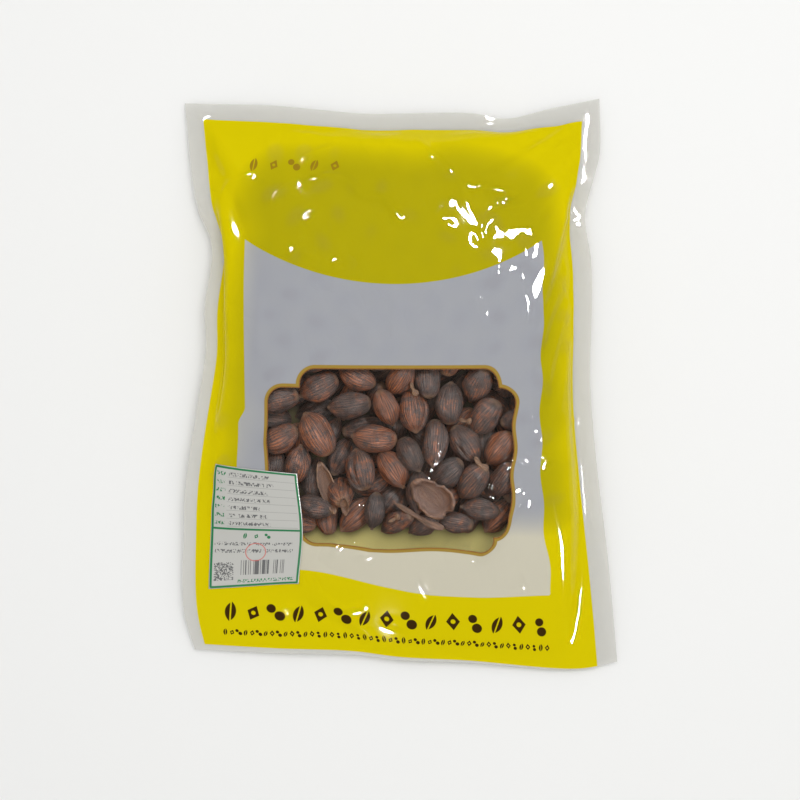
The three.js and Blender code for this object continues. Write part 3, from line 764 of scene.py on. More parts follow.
# sharp folds that the front film keeps: height and half width, then their courses, seen from above
folds = {
    "wander": 0.35, "seed": 17, "taper": 7.0,
    # near these folds the film is drawn taut and flat between the pods
    "taut": ("upperLeft", "upperRight", "window", "streaks", "foot"), "tautReach": 7.0, "tautTimes": 24,
    "upperLeft": (
        (0.98, 2.3, ((-79, 176.5), (-60, 173), (-39, 171)), ((-71, 153), (-64, 159), (-43, 166.5)),
         ((-126, 129), (-115, 142), (-100, 146)), ((-90, 121), (-87, 130), (-83, 135), (-70, 141.5))),
        (2, 3, ((-68, 139), (-47, 143.5), (-38, 142), (-26, 130.5), (-9, 125.5), (0, 110.5))),
        (0.98, 2.3, ((-28, 168), (-20, 158)), ((-66, 112.5), (-58, 116.5)),
         ((-50, 80.5), (-41, 84), (-33, 82)), ((-49, 77), (-36, 80)), ((-79, 88), (-72, 92)),
         ((-67, 91), (-58, 86))),
    ),
    "upperRight": (
        (1.12, 2.6, ((10, 172), (37, 145))),
        (2.8, 4.5, ((50.9, 138), (63.4, 133.6), (77.2, 131.5))),
        (1.2, 5, ((36, 135), (32.5, 123), (27.5, 112), (38, 106))),
        (-0.7, 5, ((42, 135), (47, 125), (52.5, 114), (60, 99))),
        (-1.5, 4.5, ((106.7, 140.8), (100.4, 132.6), (83.9, 123.5), (71.1, 119.4), (62.9, 112),
          (56.9, 98.8))),
        (0.8, 4.5, ((75, 104.5), (83.1, 107.7), (91.1, 108.4), (91.9, 99.4))),
        (-1.2, 5, ((83, 98), (87, 90), (79, 85))),
        (1.12, 2.6, ((71, 85), (63, 74))),
        (-1.2, 5, ((52, 106), (55, 97))),
    ),
    "window": (
        (0.9, 2, ((-53.5, -70.5), (-44, -73), (-31, -79.5), (-20, -83), (-10.5, -83), (-2.5, -77.5),
          (2.5, -71), (0.5, -66.5), (-12, -66)),
         ((-52, -70), (-46, -67), (-39, -68), (-20, -72.5), (-9, -74)),
         ((11, -84), (11.5, -99), (7, -105))),
        (2.8, 4.5, ((74.5, -50.5), (66.5, -58.5), (61, -65.5), (58.5, -71.5), (59.5, -76.5),
          (63.5, -81.5))),
        (0.9, 2, ((75, -52), (82.5, -54), (88, -59))),
        (1.2, 5, ((81, -69), (71, -82.5))),
        (0.9, 2, ((69, -23), (76.5, -33)), ((-73, 1), (-79, -17)), ((-24, -86), (-14, -86))),
    ),
    "streaks": (
        (2.9, 5.2, ((27, -38.5), (14, -69.5))),
    ),
    "foot": (
        (2.8, 4.5, ((84.9, -78.5), (76, -90.3), (71, -100.2), (63.9, -110.2), (52.7, -121.2))),
        (0.98, 2.2, ((67, -97), (62, -108)), ((-30, -120), (-17, -113), (-2.5, -104.5)),
         ((-47, -119), (-41.5, -108.5), (-31, -108.5)), ((-54, -109), (-51, -102.5))),
        (0.9, 2.2, ((97, -57), (101.5, -53), (109, -52.5))),
        (0.98, 2.2, ((-96, -155), (-88, -158), (-74, -156)), ((-52, -150), (-40, -157), (-26, -154)),
         ((14, -132), (22, -148)), ((84, -128), (90, -146)), ((-10, -166), (6, -171))),
    ),
    "panel": (
        (0.9, 4.5, ((-5, 66), (-3, 42), (-7, 18)), ((-62, 70), (-74, 40), (-72, 20)),
         ((50, 64), (60, 34), (56, 12)), ((-40, 52), (-24, 40), (-18, 20)),
         ((20, 70), (30, 50), (26, 28)), ((84, 78), (88, 40)), ((-96, 60), (-98, 20)),
         ((-88, -28), (-92, -46)), ((88, 0), (92, -30))),
    ),
    "seals": (
        (0.7, 5, ((123, 138), (136, 142.5))),
        (1.2, 5, ((113, 114), (127, 115.5)), ((115, 110), (127, 110))),
        (0.52, 1.7, ((113, 92), (117, 76)), ((111, 69), (116, 58)), ((-132, 97), (-124, 92)),
         ((-140, 20), (-130, 14))),
        (1.2, 5, ((58, 193), (60, 184))),
        (0.52, 1.7, ((128, -20), (118, -28)), ((-150, -96), (-138, -90))),
    ),
}


def foldHeights(options, film):
    # each fold is a ridge along its course, wandering a little and tapered at its ends
    rng, height = np.random.default_rng(options["seed"]), np.zeros(film.shape[:2])
    x, y, taut = film[..., 0], film[..., 1], np.zeros(film.shape[:2])
    areas = ("upperLeft", "upperRight", "window", "streaks", "foot", "panel", "seals")
    rows = [(area, rise, width, course) for area in areas
            for rise, width, *courses in options[area] for course in courses]
    for area, rise, width, course in rows:
        points = smoothEdge(course, 24)
        along = lengthsAlong(points)
        side = np.stack([-np.gradient(points[:, 1]), np.gradient(points[:, 0])], -1)
        phase = rng.uniform(0, 6.28, 2)
        shift = options["wander"] * (np.sin(along / 3.1 + phase[0]) + 0.6 * np.sin(along / 1.7 + phase[1]))
        points = points - side / np.linalg.norm(side, axis=1, keepdims=True) * shift[:, None]
        low, high = points.min(0) - 4 * width, points.max(0) + 4 * width
        near = (x > low[0]) & (x < high[0]) & (y > low[1]) & (y < high[1])
        taper = min(options["taper"], along[-1] / 2)
        best = np.zeros(near.sum())
        for k in range(len(points) - 1):
            step = points[k + 1] - points[k]
            dx, dy = x[near] - points[k, 0], y[near] - points[k, 1]
            u = np.clip((dx * step[0] + dy * step[1]) / (step @ step), 0, 1)
            away = np.hypot(dx - u * step[0], dy - u * step[1])
            at = along[k] + u * (along[k + 1] - along[k])
            ends = np.clip((np.minimum(at, along[-1] - at) + 1.5) / taper, 0, 1)
            best = np.maximum(best, ends * np.exp(-np.abs(away / width) ** 1.6))
            if area in options["taut"]:
                taut[near] = np.maximum(taut[near], np.exp(-(away / options["tautReach"]) ** 2))
        best *= rise
        height[near] = np.where(np.abs(best) > np.abs(height[near]), best, height[near])
    return height, taut


def backFilm(options, front):
    # the back lies on the table, under the contents, and joins the front at the rim
    rows, columns = front.shape[0] - 1, front.shape[1] - 1
    plan, (s, t, seal) = planOfSheet(sheet, columns, rows), sheetGrid(columns, rows)
    fromEnd = np.minimum(t - sheet["footSeal"], sheet["length"] - t - sheet["topSeal"])
    inside = np.minimum(fromEdges(s, t)[0] - sheet["sideSeal"], fromEnd)
    share = np.clip(inside / options["backFlatFrom"], 0, 1)[..., None]
    along = front * (1 - share) + np.concatenate([plan, front[..., 2:]], -1) * share
    fallen = np.exp(-np.maximum(inside, 0) / options["backDrop"])
    ripple = options["backRipple"] * (1 + np.sin(0.09 * s + 1.5 * np.sin(0.031 * t)) * np.sin(0.07 * t + 0.6))
    lying = np.minimum(seal, front[..., 2]) * fallen + ripple * (1 - fallen)
    z = np.where(inside < 0, front[..., 2] - options["backGap"], lying)
    (high, size, count), (start, rising), (end, falling) = (
        options[key] for key in ("crumple", "crumpleFrom", "crumpleTo"))
    rng, creases = np.random.default_rng(options["crumpleSeed"]), 0
    for _ in range(count):
        turn, phase = rng.uniform(0, np.pi), rng.uniform(0, 6.28, 2)
        across = (s * np.cos(turn) + t * np.sin(turn)) / size / rng.uniform(0.6, 1.7)
        creases = creases + np.abs(np.sin(across + phase[0] + 1.3 * np.sin(0.6 * across + phase[1]))) / count
    where = np.clip((end - t) / falling, 0, 1) * np.clip((t - start) / rising, 0, 1) * (inside > 0)
    z = z + high * creases * where
    along[..., 2] = np.clip(z, 0.1, front[..., 2] - options["backGap"])
    return along


def smoothedFront(options, front, s, t):
    # evened out, more so at the rim and the corners, then folded
    for _ in range(options["smoothing"]):
        front = smoothed(front)
    times, reach, cornerReach = options["rimSmoothing"]
    fromSide, fromEnd = fromEdges(s, t)
    rimShare = np.clip(1.2 - np.minimum(fromSide, fromEnd) / reach, 0, 1)
    rimShare = np.maximum(rimShare, np.exp(-(np.hypot(fromSide, fromEnd) / cornerReach) ** 2))
    for _ in range(times):
        front = smoothed(front, rimShare[..., None])
    height, taut = foldHeights(folds, front)
    for _ in range(folds["tautTimes"]):
        front = smoothed(front, taut[..., None])
    return front + normalsOf(front) * height[..., None]


def shadePouch(options, mesh, front, inner, tops, grid):
    # how much of what lies behind the film is pods: it darkens the thin print, as pods seen through it and as
    # painted shade
    at = lambda values, film: sampleGrid(values, grid, film[..., 0], film[..., 1])
    topBlur, coverBlur, backBlur = options["coverBlur"]
    least, more, deepest, fading = options["podShade"]
    full, less = options["cover"]
    hasPods = (tops > 3).astype(float)
    over = front[..., 2] - at(blurGrid(np.maximum(tops, 0), topBlur), front)
    cover = np.clip(at(blurGrid(hasPods, coverBlur), front) / full - less, 0, 1)
    behind = cover * (least + more * np.exp(-fading * np.clip(over / deepest, 0, 1)))
    touch = np.clip(1.3 - (front[..., 2] - at(tops, front)) / options["touchReach"], 0, 1) ** 2
    # the back film is dark under the pods, a painted shade, and pale at the empty foot
    under = at(blurGrid(hasPods, backBlur), inner)
    setAttribute(mesh, "behind", np.concatenate([behind.ravel(), under.ravel()]))
    setAttribute(mesh, "touch", np.concatenate([touch.ravel(), 0 * under.ravel()]))


def buildPouch(options, front, tops, grid):
    s, t, _ = sheetGrid(front.shape[1] - 1, front.shape[0] - 1)
    front = smoothedFront(options, front, s, t)
    inner = backFilm(options, front)[1:-1, 1:-1]
    frontIndex = np.arange(s.size).reshape(s.shape)
    backIndex = frontIndex.copy()
    backIndex[1:-1, 1:-1] = s.size + np.arange(inner[..., 0].size).reshape(inner.shape[:2])
    faces = np.vstack([gridFaces(frontIndex), gridFaces(backIndex, True)])
    flat = np.stack([s, t], -1).reshape(-1, 2)
    uvs = np.vstack([flat[gridFaces(frontIndex).ravel()],
                     flat[gridFaces(frontIndex, True).ravel()] + (options["printedBackStart"], 0)])
    points = np.vstack([front.reshape(-1, 3), inner.reshape(-1, 3)])
    piece = makeMesh("film", points, faces.tolist(), uvs)
    mesh = piece.data
    isRim = np.zeros(len(points), bool)
    isRim[frontIndex[[0, -1]].ravel()] = isRim[frontIndex[:, [0, -1]].ravel()] = True
    ends = np.empty(2 * len(mesh.edges), int)
    mesh.edges.foreach_get("vertices", ends)
    setAttribute(mesh, "sharp_edge", isRim[ends.reshape(-1, 2)].all(1), "BOOLEAN", "EDGE")
    shadePouch(options, mesh, front, inner, tops, grid)
    return piece, front


filmPiece, film = buildPouch(pouch, film, contentTops, podGrid)
pressed = [pressUnder(pieces, film, gap) for pieces, gap in zip((pods, brokenPieces), pouch["clearance"])]
print(pressed[0], "pods and", pressed[1], "broken pieces pressed down by the film")
print(keepAbove(pods, pouch["podFloor"], pouch["podThinnest"]), "pods flattened on the back film")
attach(filmPiece, "root")
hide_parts("pouch")
print("pouch made,", len(filmPiece.data.polygons) * 2, "triangles")


# the paper label
label = {
    # corners on the flat film, s and t: lower left, lower right, upper left, upper right
    "corners": ((17.0, 46.0), (78.5, 53.3), (21.3, 138.0), (81.3, 134.8)), "bulge": 3.4,
    "width": 61, "length": 88, "columns": 48, "rows": 70, "gap": 0.3, "thickness": 0.25,
    # its lower right corner has come up a little: height, and how far in
    "curl": (0.9, 5),
}


def buildLabel(options, front):
    a, b = unitGrid(options["columns"], options["rows"])
    flat = blendCorners(options["corners"], a, b)
    s, t = flat[..., 0] + options["bulge"] * (a * np.sin(np.pi * b) ** 1.5)[..., 0], flat[..., 1]
    u, v = s / sheet["width"] * (front.shape[1] - 1), t / sheet["length"] * (front.shape[0] - 1)
    points, normals = valueAt(front, u, v), valueAt(normalsOf(front), u, v)
    (curl, reach), width, length = options["curl"], options["width"], options["length"]
    lift = options["gap"] + curl * np.exp(-np.hypot(width * (1 - a), length * b)[..., 0] / reach)
    under = points + normals * lift[..., None]
    over = under + normals * options["thickness"]
    index = np.arange(lift.size).reshape(lift.shape)
    faces = [*gridFaces(index).tolist(), *gridFaces(index + index.size, True).tolist()]
    ring = np.concatenate([index[0, :-1], index[:-1, -1], index[-1, :0:-1], index[:0:-1, 0]])
    after = np.roll(ring, -1)
    faces += np.stack([ring, ring + index.size, after + index.size, after], -1).tolist()
    paper = np.stack([width * a + 0 * b, length * b + 0 * a], -1).reshape(-1, 2)
    uvs = np.array([paper[k % index.size] for face in faces for k in face])
    return makeMesh("paperLabel", np.vstack([over.reshape(-1, 3), under.reshape(-1, 3)]), faces, uvs)


labelPiece = buildLabel(label, film)
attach(labelPiece, "root")
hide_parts("label")
print("label laid on the film")


# small plain marks for the print, in their own units
marks = {
    # leaf: how far its two arcs' middles are apart, and their radius
    "leaf": (5.2, 8.6), "vein": (0.1, 0.45), "seeds": (((-2.4, 2.6), 2.9), ((2.0, -2.8), 3.3)),
    "lozenge": (1.15, 0.85, 5.0), "hole": 1.5, "wobble": (2.3, 0.6), "lean": (0.35, 0.25), "soft": 0.4,
}


def makeMarks(options):
    # a row of marks in turn: a leaf, a pair of seeds, a lozenge
    tree, g, use, give = newGroup("printedMarks", {
        "Across": 0.0, "Up": 0.0, "Start": 0.0, "Base": 0.0, "Pitch": 17.5, "Count": 13.0, "Size": 1.0,
    }, ["Mask"])
    along = g.over(g.minus(use["Across"], use["Start"]), use["Pitch"])
    cell = g.floor(along)
    wobble = g.sine(g.times(cell, options["wobble"][0]))
    u = g.over(g.times(g.minus(g.calc("FRACT", along), 0.5), use["Pitch"]), use["Size"])
    v = g.over(g.minus(use["Up"], use["Base"]), use["Size"])
    v = g.plus(v, g.times(wobble, options["wobble"][1]))
    lean = g.timesPlus(wobble, *options["lean"])
    x, y = g.minus(u, g.times(v, lean)), g.plus(v, g.times(u, lean))
    reach, radius = options["leaf"]
    leaf = g.minus(g.most(g.away(x, y, (reach, 0)), g.away(x, y, (-reach, 0))), radius)
    slope, width = options["vein"]
    leaf = g.most(leaf, g.minus(width, g.absolute(g.timesPlus(y, slope, x))))
    seeds = g.least(*(g.minus(g.away(x, y, middle), size) for middle, size in options["seeds"]))
    wide, high, size = options["lozenge"]
    lozenge = g.minus(g.timesPlus(g.absolute(x), wide, g.times(g.absolute(y), high)), size)
    lozenge = g.most(lozenge, g.minus(options["hole"], g.away(x, y, (0, 0))))
    kind = g.calc("FLOORED_MODULO", g.times(cell, 2.0), 3.0)
    shape = g.blend(g.isAbove(kind, 0.5), leaf, seeds)
    shape = g.blend(g.isAbove(kind, 1.5), shape, lozenge)
    inRow = g.times(g.isAbove(along, 0.0), g.isBelow(along, use["Count"]))
    g.feed(give, {"Mask": g.times(g.inside(shape, options["soft"]), inRow)})
    return tree


# noise is given as scale, detail and roughness
creases = {
    "bend": (0.7, 1.0), "fold": (1.0, 2.0, 0.45), "foldLevel": 0.5,
    "cross": (2.3, 1.3, 1.0), "crossFold": (1.0, 1.0, 0.4), "crossLevel": 0.47, "crossShare": 0.5,
    "where": (0.35, 1.0), "whereRange": (0.35, 0.7), "fine": (0.55, 2.0, 0.6),
}


def makeCreases(options):
    # the film's own sharp little folds and ripples, as a height in millimetres
    tree, g, use, give = newGroup("filmCreases", {
        "Place": None, "Spread": 26.0, "Folds": 0.5, "Ripple": 0.05,
    }, ["Height"])
    place = g.vector("DIVIDE", use["Place"], use["Spread"])
    bent = g.vector("ADD", place, g.noise(place, *options["bend"], output="Color"))
    fold = g.absolute(g.minus(g.noise(bent, *options["fold"]), options["foldLevel"]))
    other = g.noise(g.vector("MULTIPLY", bent, options["cross"]), *options["crossFold"])
    other = g.absolute(g.minus(other, options["crossLevel"]))
    where = g.step(g.noise(place, *options["where"]), *options["whereRange"])
    height = g.times(g.times(g.plus(fold, g.times(other, options["crossShare"])), use["Folds"]), where)
    fine = g.times(g.noise(use["Place"], *options["fine"]), use["Ripple"])
    g.feed(give, {"Height": g.plus(height, fine)})
    return tree


printedMarks = makeMarks(marks)
filmCreases = makeCreases(creases)

filmFinish = {
    # the darker copies of yellow and white, and the back's shaded colour, are painted shade where pods lie
    # behind; the back's inner colour is paler, as print seen from behind and as painted light
    "yellow": (0.68, 0.56, 0.001), "yellowShaded": (0.425, 0.365, 0.004),
    "white": (0.62, 0.585, 0.465), "whiteShaded": (0.355, 0.365, 0.40),
    "margin": (0.74, 0.73, 0.68), "gold": (0.36, 0.235, 0.045), "goldInner": (0.28, 0.125, 0.03),
    # clear is the window film's faint colour: its own haze and a painted sheen of mirrored surroundings
    "ink": (0.045, 0.022, 0.004), "brown": (0.32, 0.20, 0.01), "clear": (0.16, 0.13, 0.11),
    "touched": (0.20, 0.135, 0.105), "touchedShare": 0.08,
    "backInside": (0.98, 0.88, 0.34), "backShaded": (0.034, 0.024, 0.019),
    "opaque": 1.0, "panelOpaque": 0.97, "marginOpaque": 0.55, "clearOpaque": (0.07, 0.20),
    # margins without print: width, and how much it grows along the edge; the left one grows over a part of it
    "left": (8.3, 4.4, (200.0, 390.0)), "right": (14.4, -0.0025), "top": (11.8, 0.0107),
    "foot": (4.4, -0.0147), "printSoft": 0.4,
    # the pale panel from left to right and from foot to top, and the circle that rounds its top out
    "panel": ((44, 254.5), (52, 300)), "panelCorner": 1.5, "arc": ((150, 462.5), 197),
    # the folds of the pillow shift the panel's edges a little, as seen from above: by how much, and where
    "leftIn": (5.5, (60.0, 90.0), (168.0, 180.0)), "ripple": (0.15, (200.0, 230.0)),
    "rightIn": (5.5, (200.0, 240.0), (40.0, 120.0), (150.0, 260.0)),
    "raised": (-11.5, (80.0, 160.0), (80.0, 120.0)), "lowered": (2.6, (140.0, 180.0), (200.0, 250.0)),
    # the window, of two rounded boxes: it leans, and its edges are wavy; gold line, inner line, clear film
    "window": (((145, 144.5), (85, 51.5), 12), ((150.5, 145.5), (68.5, 63.5), 12)),
    "lean": (60, 170, 0.078, 152), "wave": (0.19, 0.8, (190.0, 215.0)),
    "sway": (0.085, 2.4, (100.0, 120.0), 1.3), "lines": (1.2, 0.8, 1.6),
    # rows of marks: start, base, pitch, count, size, colour
    "marks": ((22.5, 30.0, 15.4, 15.0, 1.12, "ink"), (22.5, 14.5, 4.6, 50.0, 0.40, "ink"),
              (44.0, 350.0, 14.5, 5.0, 0.80, "brown")),
    "hazeAndSheen": (0.045, 3.0, 0.55), "hazeAndSheenRange": (0.48, 0.72),
    "creases": {"Spread": 30.0, "Folds": 3.0, "Ripple": 0.02}, "bump": 1.0,
    "shader": {"Roughness": 0.22, "Specular IOR Level": 0.0, "Coat Weight": 1.0, "Coat Roughness": 0.035},
}


def printedField(g, options, s, t):
    # 1 where the film is printed, 0 in its margins
    wide, wider, part = options["left"]
    edges = [g.minus(s, g.timesPlus(g.step(t, *part), wider, wide))]
    for name, inwards, along in (("right", g.minus(sheet["width"], s), t),
                                 ("top", g.minus(sheet["length"], t), s), ("foot", t, s)):
        wide, wider = options[name]
        edges.append(g.minus(inwards, g.timesPlus(along, wider, wide)))
    left, right, top, foot = edges
    field = g.least(g.least(left, right), g.least(top, foot))
    return g.timesPlus(field, 1 / options["printSoft"], 0.5, clamp=True)


def panelDistance(g, options, s, t):
    shift, partS, partT = options["leftIn"]
    across = g.timesPlus(g.times(g.fade(t, *partT), g.fade(s, *partS)), shift, s)
    shift, partS, fromT, toT = options["rightIn"]
    rightIn = g.times(g.step(s, *partS), g.times(g.step(t, *fromT), g.fade(t, *toT)))
    waves, partS = options["ripple"]
    ripple = g.times(g.sine(g.times(t, waves)), g.step(s, *partS))
    across = g.plus(across, g.timesPlus(rightIn, shift, ripple))
    shift, partS, partT = options["raised"]
    along = g.timesPlus(g.times(g.fade(s, *partS), g.fade(t, *partT)), shift, t)
    shift, fromS, toS = options["lowered"]
    along = g.plus(along, g.times(g.times(g.step(s, *fromS), g.fade(s, *toS)), shift))
    (low, high), (bottom, upper) = options["panel"]
    middle, half = ((low + high) / 2, (bottom + upper) / 2), ((high - low) / 2, (upper - bottom) / 2)
    panel = g.box(across, along, middle, half, options["panelCorner"])
    middle, radius = options["arc"]
    return g.most(panel, g.minus(radius, g.away(s, t, middle)))


def windowDistance(g, options, s, t):
    start, reach, slope, middle = options["lean"]
    lean = g.times(g.timesPlus(s, 1 / reach, -start / reach), g.timesPlus(t, -slope, slope * middle))
    waves, phase, part = options["wave"]
    wave = g.times(g.sine(g.timesPlus(t, waves, phase)), g.step(s, *part))
    waves, phase, part, high = options["sway"]
    sway = g.times(g.sine(g.timesPlus(s, waves, phase)), g.fade(t, *part))
    paneS, paneT = g.plus(g.plus(s, lean), wave), g.timesPlus(sway, high, t)
    return g.least(*(g.box(paneS, paneT, *part) for part in options["window"]))


def makeFilmFinish(options):
    material, g, surface = newMaterial("printedFilm")
    onSheet, t, _ = g.flatPlace()
    isBack = g.isAbove(onSheet, pouch["printedBackStart"] - 100.0)
    s = g.timesPlus(isBack, -pouch["printedBackStart"], onSheet)
    front = g.minus(1.0, isBack)
    isPrinted = printedField(g, options, s, t)
    isPanel = g.times(g.inside(panelDistance(g, options, s, t)), front)
    window = windowDistance(g, options, s, t)
    half, inner, clear = options["lines"]
    isGold = g.times(g.inside(g.minus(g.absolute(window), half)), front)
    isInner = g.times(g.inside(g.plus(window, inner)), front)
    isClear = g.times(g.inside(g.plus(window, clear)), front)

    # painted shade: the print and the back film's inner side take their darker copies where pods lie behind
    # or over them
    behind = g.attribute("behind")
    yellow, white, back = (g.mix(behind, options[pale], options[dark]) for pale, dark in (
        ("yellow", "yellowShaded"), ("white", "whiteShaded"), ("backInside", "backShaded")))
    color = g.mix(isPanel, g.mix(isPrinted, options["margin"], yellow), white)
    touched = g.times(g.attribute("touch"), g.times(isPrinted, front))
    color = g.mix(g.times(touched, options["touchedShare"]), color, options["touched"])
    for mask, name in ((isGold, "gold"), (isInner, "goldInner"), (isClear, "clear")):
        color = g.mix(mask, color, options[name])
    # the inner side of the back film shows through the window, with painted shade under the pods
    backfacing = g.add("ShaderNodeNewGeometry").outputs["Backfacing"]
    color = g.mix(g.times(g.times(isBack, backfacing), isPrinted), color, back)
    for start, base, pitch, count, size, ink in options["marks"]:
        mask = g.use(printedMarks, {"Across": s, "Up": t, "Start": start, "Base": base, "Pitch": pitch,
                                    "Count": count, "Size": size})["Mask"]
        color = g.mix(g.times(mask, front), color, options[ink])

    place = g.point(s, t)
    # the clear film's faint colour comes and goes with a noise: the film's own haze and a painted sheen
    # standing in for mirrored surroundings
    hazeAndSheen = g.step(g.noise(place, *options["hazeAndSheen"]), *options["hazeAndSheenRange"])
    opacity = g.blend(isPrinted, options["marginOpaque"], options["opaque"])
    opacity = g.blend(isPanel, opacity, options["panelOpaque"])
    opacity = g.blend(isClear, opacity, g.blend(hazeAndSheen, *options["clearOpaque"]))
    height = g.use(filmCreases, {"Place": place, **options["creases"]})["Height"]
    g.feed(surface, {"Base Color": color, "Alpha": opacity, "Normal": g.bump(height, options["bump"]),
                     **options["shader"]})
    return material


filmPiece.data.materials.append(makeFilmFinish(filmFinish))

paperFinish = {
    "paper": (0.535, 0.53, 0.49), "fibre": (0.42, 0.42, 0.41), "fibres": (1.4, 4.0, 0.65), "fibreShare": 0.22,
    "green": (0.006, 0.21, 0.065), "grey": (0.07, 0.07, 0.075), "greyShare": 0.85,
    "red": (0.62, 0.10, 0.08), "redShare": 0.8,
    # border: middle, half size, corner; a line crosses the label at the divider
    "border": ((30.5, 44), (29.3, 42.8), 0.6), "divider": 43.0, "line": 0.75, "lineSoft": 0.25,
    # rows of dashes above the divider: first, foot, top, pitch, and the part of each row that they fill
    "rowStart": 1.2, "rowFoot": 1.5, "rowTop": 85.0, "rowPitch": 5.9, "inRow": (0.28, 0.72),
    "dashes": (0.85, 7.7, 0.5), "dashRange": (0.5, 0.54),
    "heads": (2.6, 9.5), "words": (12.0, 57.0), "wordEnds": (5.3, 52.0, 14.0),
    "rules": ((0.10, 0.15), (11.0, 58.0), 84.0), "ruleShare": 0.5,
    # areas below it, from left to right and from foot to top
    "lowRows": (((3.0, 55.0), (31.0, 33.4)), ((3.0, 55.0), (25.6, 28.2))),
    "footRow": ((19.0, 57.0), (3.2, 5.6)),
    "block": ((3.1, 16.12), (5.6, 18.6)), "bars": ((21.0, 53.0), (9.0, 20.0)), "filled": (0.5, 0.52),
    "blockCell": 0.62, "barCell": 0.42, "ring": ((30.5, 26), 6.6, 0.35, 0.3),
    "title": {"Start": 19.5, "Base": 38.2, "Pitch": 7.4, "Count": 3.0, "Size": 0.36},
    "creases": {"Spread": 22.0, "Folds": 0.5, "Ripple": 0.03}, "bump": 0.6,
    "shader": {"Roughness": 0.42, "Coat Weight": 0.25, "Coat Roughness": 0.12},
}


def makePaperFinish(options):
    material, g, surface = newMaterial("printedPaper")
    s, t, _ = g.flatPlace()
    border = g.box(s, t, *options["border"])
    line = lambda distance: g.inside(g.minus(g.absolute(distance), options["line"]), options["lineSoft"])
    area = lambda partS, partT: g.times(g.isBetween(s, *partS), g.isBetween(t, *partT))
    divider = g.times(line(g.minus(t, options["divider"])), g.inside(border))
    # rows of small dashes
    up = g.over(g.minus(t, options["divider"] + options["rowStart"]), options["rowPitch"])
    row, inRow = g.floor(up), g.calc("FRACT", up)
    fine, apart, tall = options["dashes"]
    dashes = g.noise(g.point(g.times(s, fine), g.times(row, apart), g.times(t, tall)), 1.0)
    dashes = g.step(dashes, *options["dashRange"])
    foot = options["divider"] + options["rowFoot"]
    band = g.times(g.isBetween(inRow, *options["inRow"]), g.isBetween(t, foot, options["rowTop"]))
    heads = g.times(band, g.times(dashes, g.isBetween(s, *options["heads"])))
    first, last = options["words"]
    seed, reach, least = options["wordEnds"]
    ends = g.timesPlus(g.noise(g.point(g.times(row, seed)), 1.0), reach, least)
    words = g.times(g.isAbove(s, first), g.isBelow(s, g.least(ends, last)))
    words = g.times(band, g.times(dashes, words))
    inRule, partS, top = options["rules"]
    rules = g.times(g.isBetween(inRow, *inRule), area(partS, (foot, top)))
    title = g.use(printedMarks, {"Across": s, "Up": t, **options["title"]})["Mask"]
    lowRows = g.times(dashes, g.most(*(area(*part) for part in options["lowRows"])))
    # a block of random squares, and bars
    cell = lambda value, size: g.floor(g.over(value, size))
    squares = g.point(*(cell(value, options["blockCell"]) for value in (s, t)))
    squares = g.add("ShaderNodeTexWhiteNoise", {"Vector": squares}, noise_dimensions="2D").outputs["Value"]
    bars = {"W": cell(s, options["barCell"])}
    bars = g.add("ShaderNodeTexWhiteNoise", bars, noise_dimensions="1D").outputs["Value"]
    block, bars = (g.times(g.isAbove(value, least), area(*options[name])) for value, least, name in zip(
        (squares, bars), options["filled"], ("block", "bars")))
    middle, radius, half, soft = options["ring"]
    ring = g.inside(g.minus(g.absolute(g.minus(g.away(s, t, middle), radius)), half), soft)

    green = g.most(g.most(line(border), divider), g.most(heads, title))
    green = g.most(green, g.times(dashes, area(*options["footRow"])))
    dark = g.most(g.most(words, lowRows), g.most(block, bars))
    dark = g.most(dark, g.times(rules, options["ruleShare"]))
    place = g.point(s, t)
    fibres = g.times(g.noise(place, *options["fibres"]), options["fibreShare"])
    color = g.mix(fibres, options["paper"], options["fibre"])
    color = g.mix(g.times(dark, options["greyShare"]), color, options["grey"])
    color = g.mix(green, color, options["green"])
    color = g.mix(g.times(ring, options["redShare"]), color, options["red"])
    height = g.use(filmCreases, {"Place": place, **options["creases"]})["Height"]
    g.feed(surface, {"Base Color": color, "Normal": g.bump(height, options["bump"]), **options["shader"]})
    return material


labelPiece.data.materials.append(makePaperFinish(paperFinish))

fibre = {
    "seedShift": 53.0, "lines": (1.5, 5.0, 0.62), "patches": (1.6, 3.0, 0.6), "ends": (0.80, 1.0),
}


def makeDryFibre(options):
    # fibres that run along a dried piece, from its own unit coordinates
    tree, g, use, give = newGroup("dryFibre", {
        "Rest": None, "Seed": 0.0, "Around": 7.0, "Along": 1.2,
    }, ["Fibre", "Patches", "Ends"])
    along, side, up = g.parts(use["Rest"])
    around = g.scaled(g.vector("NORMALIZE", g.point(0.0, side, up)), use["Around"])
    shift = g.point(g.timesPlus(along, use["Along"], g.times(use["Seed"], options["seedShift"])))
    g.feed(give, {
        "Fibre": g.noise(g.vector("ADD", around, shift), *options["lines"]),
        "Patches": g.noise(g.vector("ADD", use["Rest"], shift), *options["patches"]),
        "Ends": g.step(g.absolute(along), *options["ends"])})
    return tree


dryFibre = makeDryFibre(fibre)

podFinish = {
    # groove is the colour of the painted shade in the grooves and of the dark fibre lines; pale is used for
    # pale fibres, painted crest highlights and pale tips
    "dark": (0.088, 0.032, 0.016), "greyBrown": (0.195, 0.068, 0.032), "orange": (0.56, 0.140, 0.022),
    "pale": (0.56, 0.31, 0.15), "groove": (0.022, 0.009, 0.005), "roughness": (0.75, 0.42),
    "fibre": {"Around": 10.0, "Along": 1.0}, "patches": (1.9, -0.95),
    # ranges of tone over which grey brown and then orange take over
    "greyBrownOver": (0.0, 0.45), "orangeOver": (0.38, 0.8),
    # ranges of crest height and of fibre for painted groove shade, dark fibre lines, pale fibres and painted
    # crest highlights
    "grooveShadeCrest": (0.10, 0.62), "grooveShadeShare": 0.58, "lineFibre": (0.40, 0.62), "lineShare": 0.72,
    "paleFibre": (0.50, 0.68), "paleAndHighlightCrest": (0.35, 0.9), "paleAndHighlightShare": 0.22, "endShare": 0.45,
    "rise": (0.5, 0.5), "bump": (1.0, 0.0011),
}


